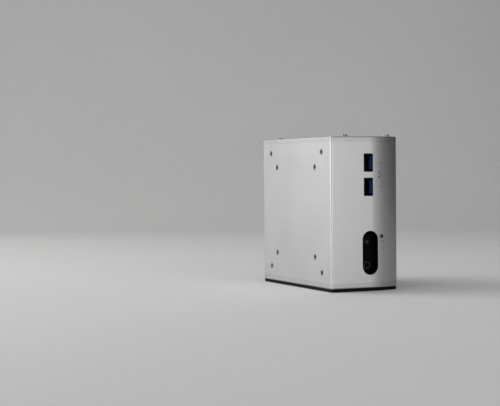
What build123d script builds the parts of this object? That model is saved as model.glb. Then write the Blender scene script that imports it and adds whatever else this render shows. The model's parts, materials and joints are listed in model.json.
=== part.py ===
from build123d import *
import os
from math import cos, radians, sin

# Mini PC: an extruded aluminium sleeve closed by two end caps, standing on one end.
# Axes: +X from the wall-mount side to the far side, +Y from the front ports to the
# rear ports, +Z up along the sleeve. The origin is at the centre of the underside.
# All sizes are in millimetres.

# ---- Driving dimensions: the casing ------------------------------------------
DEPTH = 66.0          # along X, wall-mount side to far side
WIDTH = 135.0         # along Y, front ports to rear ports
SILVER_HEIGHT = 125.2  # sleeve with both end caps, along Z
BASE_THICKNESS = 2.3
CAP_THICKNESS = 4.0
SEAM = 0.08           # hairline between sleeve and cap
WALL = 2.5
BROW_RADIUS = 60.0    # gentle curve of the front towards the far side
BROW_ANGLE = 25.0
EDGE_RADIUS = 6.0     # tight curve between the brow and the far side
CORNER_RADIUS = 1.5   # corners on the wall-mount side

# ---- Driving dimensions: ports and controls ------------------------------------
USB_CUTOUT = (8.6, 15.0)
USB_PITCH = 20.0
USB_CENTRE_Z = 93.5   # midway between the two front ports, above the silver's foot
USB_X = 34.7          # from the wall-mount side
RECESS_LENGTH = 36.5
RECESS_WIDTH = 14.6
RECESS_X = 36.1
RECESS_Z = 29.0
RECESS_DEPTH = 5.5
BUTTON_X = 35.0
BUTTON_Z = 38.0
BUTTON_RADIUS = 3.0
BUTTON_TRAVEL = 0.8
JACK_X = 35.3
JACK_Z = 18.5
JACK_BORE_RADIUS = 1.8
LED_X = 47.0
LED_Z = 42.5
LED_RADIUS = 1.65

# ---- Driving dimensions: mounting and boards -----------------------------------
VESA_PITCHES = (100.0, 75.0)
INSERT_BORE_RADIUS = 2.0
INSERT_RADIUS = 3.0
INSERT_LENGTH = 5.0
BOARD_BOTTOM_X = 28.8  # from the wall-mount side
BOARD_THICKNESS = 1.6
TRAY_X = 6.0
TRAY_THICKNESS = 1.0
FIT = 0.3              # gap between neighbouring pieces

# ---- Levels and places that follow ---------------------------------------------
LEFT = -DEPTH / 2
FRONT = -WIDTH / 2
REAR = WIDTH / 2
FOOT = BASE_THICKNESS
SLEEVE_LOW = FOOT + CAP_THICKNESS + SEAM
TOP = FOOT + SILVER_HEIGHT
SLEEVE_HIGH = TOP - CAP_THICKNESS - SEAM
MID_Z = FOOT + SILVER_HEIGHT / 2
FRONT_INNER = FRONT + WALL
REAR_INNER = REAR - WALL
BOARD_TOP_X = BOARD_BOTTOM_X + BOARD_THICKNESS
BROW_START = DEPTH / 2 - BROW_RADIUS * sin(radians(BROW_ANGLE)) - EDGE_RADIUS * (
    1 - sin(radians(BROW_ANGLE)))
BROW_DROP = BROW_RADIUS * (1 - cos(radians(BROW_ANGLE)))
USB_ZS = {"upper": FOOT + USB_CENTRE_Z + USB_PITCH / 2, "lower": FOOT + USB_CENTRE_Z - USB_PITCH / 2}

os.makedirs("parts", exist_ok=True)


def from_left(x):
    """Row X of a distance measured from the wall-mount side."""
    return LEFT + x


def end_plane(z):
    """A plane across the sleeve, facing up."""
    return Plane.XY.offset(z)


def side_plane(x):
    """A plane along the boards, facing the far side; its axes are Y and Z."""
    return Plane.YZ.offset(from_left(x))


def face_plane(y):
    """A plane along the port faces, facing the front; its axes are X and Z."""
    return Plane(origin=(0, y, 0), x_dir=(1, 0, 0), z_dir=(0, -1, 0))


def save(piece, name):
    """Label a finished piece and write its STEP file."""
    piece.part.label = name
    export_step(piece.part, f"parts/{name}.step")


def block(x, y, z, mode=Mode.ADD):
    """A box between two x (from the wall-mount side), two y and two z."""
    centre = (from_left(sum(x) / 2), sum(y) / 2, sum(z) / 2)
    with Locations(centre):
        Box(x[1] - x[0], y[1] - y[0], z[1] - z[0], mode=mode)


# ---- The outline that sleeve, caps and base share ------------------------------
with BuildSketch() as outline:
    brow_end = (BROW_START + BROW_RADIUS * sin(radians(BROW_ANGLE)), FRONT + BROW_DROP)
    edge_end = (DEPTH / 2, brow_end[1] + EDGE_RADIUS * cos(radians(BROW_ANGLE)))
    with BuildLine():
        Line((LEFT, FRONT), (BROW_START, FRONT))
        TangentArc((BROW_START, FRONT), brow_end, tangent=(1, 0))
        TangentArc(brow_end, edge_end, tangent=(cos(radians(BROW_ANGLE)), sin(radians(BROW_ANGLE))))
        Line(edge_end, (DEPTH / 2, REAR))
        Line((DEPTH / 2, REAR), (LEFT, REAR))
        Line((LEFT, REAR), (LEFT, FRONT))
    make_face()
    fillet(outline.vertices().group_by(Axis.X)[0], CORNER_RADIUS)
    fillet(outline.vertices().group_by(Axis.Y)[-1].sort_by(Axis.X)[-1], EDGE_RADIUS)

# Screw ports: full-height bosses on the sleeve's inside that take the cap screws.
PORT_RADIUS = 4.2
SCREW_BORE = 1.5
port_places = [
    (from_left(15.5), FRONT + 6.5),
    (from_left(55.3), FRONT + 7.5),
    (from_left(14), REAR - 6.5),
    (from_left(59.7), REAR - 20),
]
RAIL_HEIGHT = 1.2
RAIL_REACH = 2.0
RAIL_SLOT = TRAY_THICKNESS + 0.2
rail_xs = [TRAY_X - 0.1 - RAIL_HEIGHT / 2, TRAY_X - 0.1 + RAIL_SLOT + RAIL_HEIGHT / 2]

# The rear window, in x from the wall-mount side and z.
WINDOW_X = (27.5, 54.0)
WINDOW_Z = (15.0, 115.0)
window_centre = (from_left(sum(WINDOW_X) / 2), sum(WINDOW_Z) / 2)
window_size = (WINDOW_X[1] - WINDOW_X[0], WINDOW_Z[1] - WINDOW_Z[0])
plate_screw_places = [
    (window_centre[0] + side * 8, window_centre[1] + end * (window_size[1] / 2 + 2.6))
    for side in (-1, 1) for end in (-1, 1)]

CUTOUT_CHAMFER = 0.12


def on_cutout_rim(edge):
    """True for the outer rim of a socket cut-out in the front face."""
    box = edge.bounding_box()
    on_face = abs(box.min.Y - FRONT) < 0.01 and abs(box.max.Y - FRONT) < 0.01
    inside_x = box.min.X > from_left(USB_X - 5) and box.max.X < from_left(USB_X + 5)
    return on_face and inside_x and box.min.Z > FOOT + USB_CENTRE_Z - 20


with BuildPart() as outer_sleeve:
    with BuildSketch(end_plane(SLEEVE_LOW)):
        add(outline.sketch)
        offset(outline.sketch, amount=-WALL, mode=Mode.SUBTRACT)
        with Locations(*port_places):
            Circle(PORT_RADIUS)
        for y in (FRONT_INNER + RAIL_REACH / 2, REAR_INNER - RAIL_REACH / 2):
            with Locations(*[(from_left(x), y) for x in rail_xs]):
                Rectangle(RAIL_HEIGHT, RAIL_REACH)
        add(outline.sketch, mode=Mode.INTERSECT)
        with Locations(*port_places):
            Circle(SCREW_BORE, mode=Mode.SUBTRACT)
    extrude(amount=SLEEVE_HIGH - SLEEVE_LOW)
    # Front: two socket cut-outs, the long recess and the indicator hole.
    with BuildSketch(face_plane(FRONT)):
        with Locations(*[(from_left(USB_X), z) for z in USB_ZS.values()]):
            RectangleRounded(*USB_CUTOUT, 0.8)
        with Locations((from_left(RECESS_X), FOOT + RECESS_Z)):
            SlotOverall(RECESS_LENGTH, RECESS_WIDTH, rotation=90)
    extrude(amount=-(WALL + 1.5), mode=Mode.SUBTRACT)
    with BuildSketch(face_plane(FRONT)):
        with Locations((from_left(LED_X), FOOT + LED_Z)):
            Circle(LED_RADIUS + 0.1)
    extrude(amount=-(WALL + 2), mode=Mode.SUBTRACT)
    rims = outer_sleeve.edges().filter_by(on_cutout_rim)
    chamfer(rims, CUTOUT_CHAMFER)
    # Rear: the port window and the countersunk holes of its plate.
    with BuildSketch(face_plane(REAR)):
        with Locations(window_centre):
            RectangleRounded(*window_size, 2.0)
    extrude(amount=WALL + 0.5, mode=Mode.SUBTRACT)
    with Locations(*[Location(Plane(origin=(x, REAR, z), x_dir=(-1, 0, 0), z_dir=(0, 1, 0)))
                     for x, z in plate_screw_places]):
        CounterSinkHole(1.1, 2.0, depth=WALL + 0.5, counter_sink_angle=90)
    # Wall-mount side: holes for the threaded inserts of both patterns.
    with BuildSketch(side_plane(0)):
        for pitch in VESA_PITCHES:
            with Locations((0, MID_Z)):
                with GridLocations(pitch, pitch, 2, 2):
                    Circle(INSERT_RADIUS)
    extrude(amount=WALL + 0.5, mode=Mode.SUBTRACT)
save(outer_sleeve, "outer_sleeve")

# ---- End caps -------------------------------------------------------------------
LIP_HEIGHT = 3.0
LIP_THICKNESS = 1.6
VENT_SLOT = (26.0, 3.0)
VENT_PITCH = 7.0
VENT_COUNT = 9
CAP_EDGE_FILLET = 1.0

with BuildSketch() as vents:
    with GridLocations(1, VENT_PITCH, 1, VENT_COUNT):
        SlotOverall(*VENT_SLOT)


def end_cap(outer_z, direction):
    """A cap from its outer face inwards, with the lip that fits inside the sleeve."""
    with BuildPart() as cap:
        with BuildSketch(end_plane(outer_z)) as plate:
            add(outline.sketch)
        extrude(plate.sketch, amount=direction * CAP_THICKNESS)
        fillet(cap.faces().sort_by(Axis.Z)[-1 if direction < 0 else 0].edges(), CAP_EDGE_FILLET)
        with BuildSketch(end_plane(outer_z + direction * CAP_THICKNESS)) as lip:
            offset(outline.sketch, amount=-WALL - 0.15)
            offset(outline.sketch, amount=-WALL - 0.15 - LIP_THICKNESS, mode=Mode.SUBTRACT)
            with Locations(*port_places):
                Circle(PORT_RADIUS + 0.5, mode=Mode.SUBTRACT)
            with Locations(*[(from_left(TRAY_X + 0.5), y) for y in (FRONT_INNER, REAR_INNER)]):
                Rectangle(7, 6, mode=Mode.SUBTRACT)
        extrude(lip.sketch, amount=direction * LIP_HEIGHT)
        with BuildSketch(end_plane(outer_z)) as openings:
            add(vents.sketch)
            with Locations(*port_places):
                Circle(SCREW_BORE + 0.2)
        extrude(openings.sketch, amount=direction * CAP_THICKNESS, mode=Mode.SUBTRACT)
    return cap


top_end_cap = end_cap(TOP, -1)
save(top_end_cap, "top_end_cap")

with BuildPart() as bottom_end_cap:
    add(end_cap(FOOT, 1).part)
    with Locations(*[Location(Plane(origin=(x, y, FOOT), x_dir=(1, 0, 0), z_dir=(0, 0, -1)))
                     for x, y in port_places]):
        CounterSinkHole(SCREW_BORE + 0.2, 3.0, depth=CAP_THICKNESS, counter_sink_angle=90)
save(bottom_end_cap, "bottom_end_cap")

with BuildPart() as base_plate:
    with BuildSketch(end_plane(0)):
        offset(outline.sketch, amount=-0.5)
        add(vents.sketch, mode=Mode.SUBTRACT)
    extrude(amount=BASE_THICKNESS)
save(base_plate, "base_plate")

# ---- Screws of the casing -------------------------------------------------------
SHANK_RADIUS = 1.45


def pan_screws(places, seat_z, direction, length, head_radius=2.75, head_height=1.6):
    """Pan-head cross-recess screws standing on seat_z; direction is where the head points."""
    with BuildPart() as screws:
        for x, y in places:
            with BuildSketch(Plane(origin=(x, y, seat_z), z_dir=(0, 0, direction))) as head:
                Circle(head_radius)
            extrude(head.sketch, amount=head_height)
            with BuildSketch(Plane(origin=(x, y, seat_z), z_dir=(0, 0, -direction))) as shank:
                Circle(SHANK_RADIUS)
            extrude(shank.sketch, amount=length)
        outer = screws.faces().group_by(Axis.Z)[-1 if direction > 0 else 0]
        fillet(outer.edges(), head_height * 0.55)
        for x, y in places:
            with Locations((x, y, seat_z + direction * head_height)):
                Box(2.6, 0.6, 2.0, mode=Mode.SUBTRACT)
                Box(0.6, 2.6, 2.0, mode=Mode.SUBTRACT)
    return screws


top_cap_screws = pan_screws(port_places, TOP, 1, 14)
save(top_cap_screws, "top_cap_screws")

with BuildPart() as bottom_cap_screws:
    for x, y in port_places:
        with BuildSketch(end_plane(FOOT)):
            with Locations((x, y)):
                Circle(SHANK_RADIUS)
        extrude(amount=14)
        with Locations((x, y, FOOT + 0.65)):
            Cone(2.8, SHANK_RADIUS + 0.05, 1.3)
save(bottom_cap_screws, "bottom_cap_screws")

with BuildPart() as rear_plate_screws:
    for x, z in plate_screw_places:
        with BuildSketch(face_plane(REAR)):
            with Locations((x, z)):
                Circle(0.95)
        extrude(amount=6)
        with BuildSketch(face_plane(REAR)):
            with Locations((x, z)):
                Circle(1.9)
        extrude(amount=0.9, taper=45)
save(rear_plate_screws, "rear_plate_screws")


def threaded_inserts(pitch):
    """Four flush inserts in the wall-mount face, on a square of this pitch."""
    with BuildPart() as inserts:
        with BuildSketch(side_plane(0)) as bodies:
            with Locations((0, MID_Z)):
                with GridLocations(pitch, pitch, 2, 2):
                    Circle(INSERT_RADIUS - 0.02)
                    Circle(INSERT_BORE_RADIUS, mode=Mode.SUBTRACT)
        extrude(bodies.sketch, amount=INSERT_LENGTH)
        with BuildSketch(side_plane(WALL + 0.05)) as collars:
            with Locations((0, MID_Z)):
                with GridLocations(pitch, pitch, 2, 2):
                    Circle(INSERT_RADIUS + 0.9)
                    Circle(INSERT_RADIUS - 0.5, mode=Mode.SUBTRACT)
        extrude(collars.sketch, amount=1.2)
    return inserts


for pitch in VESA_PITCHES:
    save(threaded_inserts(pitch), f"vesa_inserts_{pitch:.0f}")

# ---- Rear port plate --------------------------------------------------------------
REAR_PLATE_THICKNESS = 1.2
REAR_PLATE_LAP = 4.8    # how far the plate reaches past the window at each end
REAR_VENT = (6.0, 2.2)
REAR_VENT_PITCH = 4.0
REAR_VENT_COUNT = 12
REAR_VENT_CENTRE = (from_left(49.5), 87.0)
REAR_PLATE_FACE = REAR_INNER - 0.05
REAR_MOUTH = REAR - 1.0

# Each rear port: z of its centre, width along Z, height along X.
DC_INLET = (106.0, 9.0, 11.0)
DISPLAYPORT = (88.0, 16.1, 5.6)
HDMI = (68.0, 15.0, 5.6)
ETHERNET = (46.0, 16.0, 13.5)
REAR_USB = (25.0, 14.4, 15.6)
REAR_PORTS = (DC_INLET, DISPLAYPORT, HDMI, ETHERNET, REAR_USB)
PORT_GAP = 0.15
PORT_FOOT_X = BOARD_TOP_X + 0.05

with BuildPart() as rear_io_plate:
    with BuildSketch(face_plane(REAR_PLATE_FACE)):
        with Locations(window_centre):
            RectangleRounded(window_size[0], window_size[1] + 2 * REAR_PLATE_LAP, 1.0)
        for z, width, height in REAR_PORTS:
            with Locations((from_left(PORT_FOOT_X + height / 2), z)):
                Rectangle(height + 2 * PORT_GAP, width + 2 * PORT_GAP, mode=Mode.SUBTRACT)
        with Locations(REAR_VENT_CENTRE):
            with GridLocations(1, REAR_VENT_PITCH, 1, REAR_VENT_COUNT):
                SlotOverall(*REAR_VENT, mode=Mode.SUBTRACT)
        with Locations(*plate_screw_places):
            Circle(1.0, mode=Mode.SUBTRACT)
    extrude(amount=REAR_PLATE_THICKNESS)
save(rear_io_plate, "rear_io_plate")

# ---- Front sockets -----------------------------------------------------------------
SHELL_WALL = 0.4
SHELL_OUTER = (7.8, 14.4)
SHELL_DEPTH = 16.0
SHELL_SETBACK = 0.3
SHELL_MOUTH = FRONT + SHELL_SETBACK
SHELL_X = USB_X + 0.3
TONGUE_THICKNESS = 2.4
TONGUE_WIDTH = 11.1
TONGUE_SETBACK = 0.5
TONGUE_GAP = 0.05     # between the tongue and the shell's far wall


def socket_shell(x, z, size, mouth_y, depth, direction, wall=SHELL_WALL):
    """A metal socket shell open at its mouth; depth runs along Y by direction."""
    with BuildPart() as shell:
        with BuildSketch(face_plane(mouth_y)) as outer:
            with Locations((from_left(x), z)):
                RectangleRounded(*size, 0.7)
        extrude(outer.sketch, amount=-direction * depth)
        with BuildSketch(face_plane(mouth_y)) as hollow:
            with Locations((from_left(x), z)):
                RectangleRounded(size[0] - 2 * wall, size[1] - 2 * wall, 0.4)
        extrude(hollow.sketch, amount=-direction * (depth - wall), mode=Mode.SUBTRACT)
    return shell


def socket_tongue(x, z, thickness, width, mouth_y, depth, direction):
    """The contact tongue inside a socket, standing on the shell's back wall."""
    front = mouth_y + direction * TONGUE_SETBACK
    back = mouth_y + direction * (depth - SHELL_WALL)
    with BuildPart() as tongue:
        block((x - thickness / 2, x + thickness / 2), sorted((front, back)), (z - width / 2, z + width / 2))
        fillet(tongue.faces().sort_by(Axis.Y)[0 if direction > 0 else -1].edges(), 0.3)
    return tongue


tongue_x = SHELL_X + SHELL_OUTER[0] / 2 - SHELL_WALL - TONGUE_GAP - TONGUE_THICKNESS / 2
for place, z in USB_ZS.items():
    shell = socket_shell(SHELL_X, z, SHELL_OUTER, SHELL_MOUTH, SHELL_DEPTH, 1)
    save(shell, f"front_usb_shell_{place}")
    tongue = socket_tongue(tongue_x, z, TONGUE_THICKNESS, TONGUE_WIDTH, SHELL_MOUTH, SHELL_DEPTH, 1)
    save(tongue, f"front_usb_tongue_{place}")

# ---- Front recess with the power button and the headset jack -------------------------
RECESS_FLOOR = FRONT + RECESS_DEPTH
RIM_SETBACK = 0.5
RIM_Y = FRONT + RIM_SETBACK
FLOOR_THICKNESS = 1.0
TRAY_GAP = 0.15       # between the tray's rim and the sleeve
RIM_WALL = 0.8
FLANGE_REACH = 1.2
FLANGE_THICKNESS = 1.0
FLANGE_Y = FRONT_INNER + 0.6
BUTTON_GUIDE = 0.3
JACK_COLLAR_RADIUS = 3.0
RIM_INSET = 2 * (TRAY_GAP + RIM_WALL)
RECESS_MID_Z = FOOT + RECESS_Z
button_centre = (from_left(BUTTON_X), FOOT + BUTTON_Z)
jack_centre = (from_left(JACK_X), FOOT + JACK_Z)

with BuildPart() as recess_tray:
    with BuildSketch(face_plane(RIM_Y)):
        with Locations((from_left(RECESS_X), RECESS_MID_Z)):
            SlotOverall(RECESS_LENGTH - 2 * TRAY_GAP, RECESS_WIDTH - 2 * TRAY_GAP, rotation=90)
    extrude(amount=-(RECESS_DEPTH - RIM_SETBACK + FLOOR_THICKNESS))
    with BuildSketch(face_plane(FLANGE_Y)):
        with Locations((from_left(RECESS_X), RECESS_MID_Z)):
            SlotOverall(RECESS_LENGTH + 2 * FLANGE_REACH, RECESS_WIDTH + 2 * FLANGE_REACH, rotation=90)
    extrude(amount=-FLANGE_THICKNESS)
    with BuildSketch(face_plane(RIM_Y)):
        with Locations((from_left(RECESS_X), RECESS_MID_Z)):
            SlotOverall(RECESS_LENGTH - RIM_INSET, RECESS_WIDTH - RIM_INSET, rotation=90)
    extrude(amount=-(RECESS_DEPTH - RIM_SETBACK), mode=Mode.SUBTRACT)
    with BuildSketch(face_plane(RECESS_FLOOR)):
        with Locations(button_centre):
            Circle(BUTTON_RADIUS + BUTTON_GUIDE)
        with Locations(jack_centre):
            Circle(JACK_COLLAR_RADIUS + 0.2)
    extrude(amount=-FLOOR_THICKNESS, mode=Mode.SUBTRACT)
save(recess_tray, "recess_tray")

BUTTON_PROUD = 1.6
BUTTON_FLANGE_Y = RECESS_FLOOR + FLOOR_THICKNESS + 0.1
STEM_RADIUS = 1.2
STEM_END = BUTTON_FLANGE_Y + 3.2
PLUNGER_RADIUS = 1.0
SWITCH_FACE = STEM_END + 1.0
SWITCH_DEPTH = 4.0
SWITCH_HALF = 3.0
BUTTON_FLANGE = (0.8, 0.9)   # how far it reaches past the button, and its thickness
BUTTON_BODY = BUTTON_PROUD + FLOOR_THICKNESS + 1.0
PLUNGER_SOCKET = 1.5

with BuildPart() as power_button:
    with BuildSketch(face_plane(RECESS_FLOOR - BUTTON_PROUD)):
        with Locations(button_centre):
            Circle(BUTTON_RADIUS)
    extrude(amount=-BUTTON_BODY)
    fillet(power_button.faces().sort_by(Axis.Y)[0].edges(), 0.6)
    with BuildSketch(face_plane(BUTTON_FLANGE_Y)):
        with Locations(button_centre):
            Circle(BUTTON_RADIUS + BUTTON_FLANGE[0])
    extrude(amount=-BUTTON_FLANGE[1])
    with BuildSketch(face_plane(BUTTON_FLANGE_Y)):
        with Locations(button_centre):
            Circle(STEM_RADIUS)
    extrude(amount=-(STEM_END - BUTTON_FLANGE_Y))
save(power_button, "power_button")

with BuildPart() as switch_plunger:
    with BuildSketch(face_plane(STEM_END)):
        with Locations(button_centre):
            Circle(PLUNGER_RADIUS)
    extrude(amount=-(SWITCH_FACE - STEM_END + PLUNGER_SOCKET))
save(switch_plunger, "switch_plunger")

with BuildPart() as power_switch:
    block((PORT_FOOT_X, BUTTON_X + 2.5), (SWITCH_FACE, SWITCH_FACE + SWITCH_DEPTH),
          (button_centre[1] - SWITCH_HALF, button_centre[1] + SWITCH_HALF))
    with BuildSketch(face_plane(SWITCH_FACE)):
        with Locations(button_centre):
            Circle(PLUNGER_RADIUS + 0.06)
    extrude(amount=-(PLUNGER_SOCKET + BUTTON_TRAVEL + FIT), mode=Mode.SUBTRACT)
save(power_switch, "power_switch")

JACK_DEPTH = 14.0
JACK_FACE = RECESS_FLOOR - 0.6
JACK_HALF = 3.6
JACK_COLLAR_LENGTH = 4.0
with BuildPart() as headset_jack:
    block((PORT_FOOT_X, JACK_X + JACK_HALF), (RECESS_FLOOR + FLOOR_THICKNESS + FIT, JACK_FACE + JACK_DEPTH),
          (jack_centre[1] - JACK_HALF, jack_centre[1] + JACK_HALF))
    with BuildSketch(face_plane(JACK_FACE)):
        with Locations(jack_centre):
            Circle(JACK_COLLAR_RADIUS)
    extrude(amount=-JACK_COLLAR_LENGTH)
    with BuildSketch(face_plane(JACK_FACE)):
        with Locations(jack_centre):
            Circle(JACK_BORE_RADIUS)
    extrude(amount=-(JACK_DEPTH - 1), mode=Mode.SUBTRACT)
save(headset_jack, "headset_jack")

# ---- Indicator: a chip on the board and an L-shaped light pipe -----------------------
LED_SURFACE_Y = FRONT + BROW_RADIUS - (BROW_RADIUS ** 2 - (from_left(LED_X) - BROW_START) ** 2) ** 0.5
PIPE_LEG_Y = (FRONT_INNER + 8.5, FRONT_INNER + 11.5)
PIPE_LEG_Z = (FOOT + LED_Z - 0.3, FOOT + LED_Z + 2.3)
LED_CHIP_HEIGHT = 0.8

with BuildPart() as light_pipe:
    with BuildSketch(face_plane(LED_SURFACE_Y + 0.1)):
        with Locations((from_left(LED_X), FOOT + LED_Z)):
            Circle(LED_RADIUS)
    extrude(amount=-(PIPE_LEG_Y[1] - LED_SURFACE_Y - 0.1))
    block((BOARD_TOP_X + LED_CHIP_HEIGHT + FIT, LED_X + LED_RADIUS), PIPE_LEG_Y, PIPE_LEG_Z)
save(light_pipe, "light_pipe")

with BuildPart() as indicator_led:
    block((PORT_FOOT_X, BOARD_TOP_X + LED_CHIP_HEIGHT), (PIPE_LEG_Y[0] + 0.7, PIPE_LEG_Y[1] - 0.7),
          (PIPE_LEG_Z[0] + 0.8, PIPE_LEG_Z[1] - 0.8))
save(indicator_led, "indicator_led")

# ---- Rear sockets ----------------------------------------------------------------------


def port_centre_x(height):
    """Middle of a port that stands on the board's far side."""
    return PORT_FOOT_X + height / 2


INLET_BORE_RADIUS = 3.2
INLET_BORE_DEPTH = 9.5
INLET_PIN_RADIUS = 1.25
INLET_PIN_SETBACK = 0.8
z, width, height = DC_INLET
with BuildPart() as dc_inlet:
    block((PORT_FOOT_X, PORT_FOOT_X + height), (REAR_MOUTH - 14, REAR_MOUTH), (z - width / 2, z + width / 2))
    with BuildSketch(face_plane(REAR_MOUTH)):
        with Locations((from_left(port_centre_x(height)), z)):
            Circle(INLET_BORE_RADIUS)
    extrude(amount=INLET_BORE_DEPTH, mode=Mode.SUBTRACT)
save(dc_inlet, "dc_inlet")

with BuildPart() as dc_inlet_pin:
    with BuildSketch(face_plane(REAR_MOUTH - INLET_PIN_SETBACK)):
        with Locations((from_left(port_centre_x(height)), z)):
            Circle(INLET_PIN_RADIUS)
    extrude(amount=INLET_BORE_DEPTH - INLET_PIN_SETBACK)
    fillet(dc_inlet_pin.faces().sort_by(Axis.Y)[-1].edges(), 0.5)
save(dc_inlet_pin, "dc_inlet_pin")

VIDEO_DEPTH = 11.5
VIDEO_TONGUE = 1.1
for name, (z, width, height) in {"hdmi": HDMI, "displayport": DISPLAYPORT}.items():
    centre_x = port_centre_x(height)
    shell = socket_shell(centre_x, z, (height, width), REAR_MOUTH, VIDEO_DEPTH, -1)
    save(shell, f"{name}_shell")
    tongue = socket_tongue(centre_x, z, VIDEO_TONGUE, width - 4, REAR_MOUTH, VIDEO_DEPTH, -1)
    save(tongue, f"{name}_tongue")

PLUG_ROOM = (8.0, 11.8, 14.0)   # along X, Z and Y
LATCH_ROOM = (2.0, 6.0, 10.0)
z, width, height = ETHERNET
with BuildPart() as ethernet_jack:
    block((PORT_FOOT_X, PORT_FOOT_X + height), (REAR_MOUTH - 21, REAR_MOUTH), (z - width / 2, z + width / 2))
    room_x = PORT_FOOT_X + 1.5
    for room in (PLUG_ROOM, LATCH_ROOM):
        block((room_x, room_x + room[0]), (REAR_MOUTH - room[2], REAR_MOUTH),
              (z - room[1] / 2, z + room[1] / 2), mode=Mode.SUBTRACT)
        room_x += room[0]
save(ethernet_jack, "ethernet_jack")

z, width, height = REAR_USB
REAR_USB_LEVELS = (0.5, 8.4)
REAR_USB_HOLLOW = (6.7, 13.2)
REAR_USB_DEPTH = 16.0
with BuildPart() as rear_usb_shell:
    block((PORT_FOOT_X, PORT_FOOT_X + height), (REAR_MOUTH - 17, REAR_MOUTH), (z - width / 2, z + width / 2))
    for level in REAR_USB_LEVELS:
        block((PORT_FOOT_X + level, PORT_FOOT_X + level + REAR_USB_HOLLOW[0]),
              (REAR_MOUTH - REAR_USB_DEPTH, REAR_MOUTH),
              (z - REAR_USB_HOLLOW[1] / 2, z + REAR_USB_HOLLOW[1] / 2), mode=Mode.SUBTRACT)
save(rear_usb_shell, "rear_usb_shell")

with BuildPart() as rear_usb_tongues:
    for level in REAR_USB_LEVELS:
        tongue_high = PORT_FOOT_X + level + REAR_USB_HOLLOW[0] - TONGUE_GAP
        block((tongue_high - TONGUE_THICKNESS, tongue_high),
              (REAR_MOUTH - REAR_USB_DEPTH, REAR_MOUTH - TONGUE_SETBACK),
              (z - TONGUE_WIDTH / 2, z + TONGUE_WIDTH / 2))
save(rear_usb_tongues, "rear_usb_tongues")

# ---- Tray, drive and board ---------------------------------------------------------------
TRAY_Z = (SLEEVE_LOW + 2.0, SLEEVE_HIGH - 2.0)
TRAY_Y = REAR_INNER - 0.3
STANDOFF_PLACES = [(y, z) for y in (-45, 45) for z in (16, 113)]
DRIVE_SIZE = (7.0, 100.2, 69.9)
DRIVE_MID = (-2.0, 63.0)
BRACKET_THICKNESS = 0.8
PLUG_HALF = 21.0       # half the width of the drive's plug
tray_top = TRAY_X + TRAY_THICKNESS

with BuildPart() as chassis_tray:
    block((TRAY_X, tray_top), (-TRAY_Y, TRAY_Y), TRAY_Z)
    with BuildSketch(side_plane(TRAY_X)):
        with Locations(*STANDOFF_PLACES):
            Circle(1.6)
        for end_z in (TRAY_Z[0] + 10, TRAY_Z[1] - 10):
            with Locations((0, end_z)):
                SlotOverall(70, 8)
    extrude(amount=TRAY_THICKNESS, mode=Mode.SUBTRACT)
save(chassis_tray, "chassis_tray")

with BuildPart() as drive_bracket:
    bracket_x = tray_top + 0.05
    half_y = DRIVE_SIZE[1] / 2 + 0.3 + BRACKET_THICKNESS
    block((bracket_x, bracket_x + BRACKET_THICKNESS), (DRIVE_MID[0] - half_y, DRIVE_MID[0] + half_y),
          (DRIVE_MID[1] - 30, DRIVE_MID[1] + 30))
    for side in (-1, 1):
        wall_y = sorted((DRIVE_MID[0] + side * half_y, DRIVE_MID[0] + side * (half_y - BRACKET_THICKNESS)))
        block((bracket_x, bracket_x + 7), wall_y, (DRIVE_MID[1] - 30, DRIVE_MID[1] + 30))
    rear_wall_y = DRIVE_MID[0] + half_y
    block((bracket_x + BRACKET_THICKNESS, bracket_x + 7), (rear_wall_y - BRACKET_THICKNESS, rear_wall_y),
          (DRIVE_MID[1] - PLUG_HALF - FIT, DRIVE_MID[1] + PLUG_HALF + FIT), mode=Mode.SUBTRACT)
save(drive_bracket, "drive_bracket")

with BuildPart() as solid_state_drive:
    drive_x = bracket_x + BRACKET_THICKNESS + 0.1
    block((drive_x, drive_x + DRIVE_SIZE[0]),
          (DRIVE_MID[0] - DRIVE_SIZE[1] / 2, DRIVE_MID[0] + DRIVE_SIZE[1] / 2),
          (DRIVE_MID[1] - DRIVE_SIZE[2] / 2, DRIVE_MID[1] + DRIVE_SIZE[2] / 2))
    fillet(solid_state_drive.edges().filter_by(Axis.X), 1.5)
save(solid_state_drive, "solid_state_drive")

with BuildPart() as board_standoffs:
    with BuildSketch(side_plane(tray_top + 0.05)):
        with Locations(*STANDOFF_PLACES):
            RegularPolygon(3.0, 6)
    extrude(amount=BOARD_BOTTOM_X - tray_top - 0.1)
    with BuildSketch(side_plane(BOARD_BOTTOM_X - 0.05)):
        with Locations(*STANDOFF_PLACES):
            Circle(1.25)
    extrude(amount=-8, mode=Mode.SUBTRACT)
save(board_standoffs, "board_standoffs")

BOARD_Y = (FRONT_INNER + 6.0, REAR_MOUTH - 5.0)
BOARD_Z = (SLEEVE_LOW + 4.0, SLEEVE_HIGH - 4.0)
LEAD_HOLE = (-36.5, 100.0)   # where the antenna leads pass through the board
with BuildPart() as motherboard:
    block((BOARD_BOTTOM_X, BOARD_TOP_X), BOARD_Y, BOARD_Z)
    with BuildSketch(side_plane(BOARD_BOTTOM_X)):
        with Locations(*STANDOFF_PLACES):
            Circle(1.6)
        with Locations(LEAD_HOLE):
            Circle(3.0)
    extrude(amount=BOARD_THICKNESS, mode=Mode.SUBTRACT)
save(motherboard, "motherboard")

with BuildPart() as board_screws:
    with BuildSketch(side_plane(BOARD_TOP_X + 0.02)):
        with Locations(*STANDOFF_PLACES):
            Circle(2.6)
    extrude(amount=1.4)
    fillet(board_screws.faces().group_by(Axis.X)[-1].edges(), 0.6)
    with BuildSketch(side_plane(BOARD_TOP_X + 0.02)):
        with Locations(*STANDOFF_PLACES):
            Circle(1.2)
    extrude(amount=-7)
save(board_screws, "board_screws")

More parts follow.
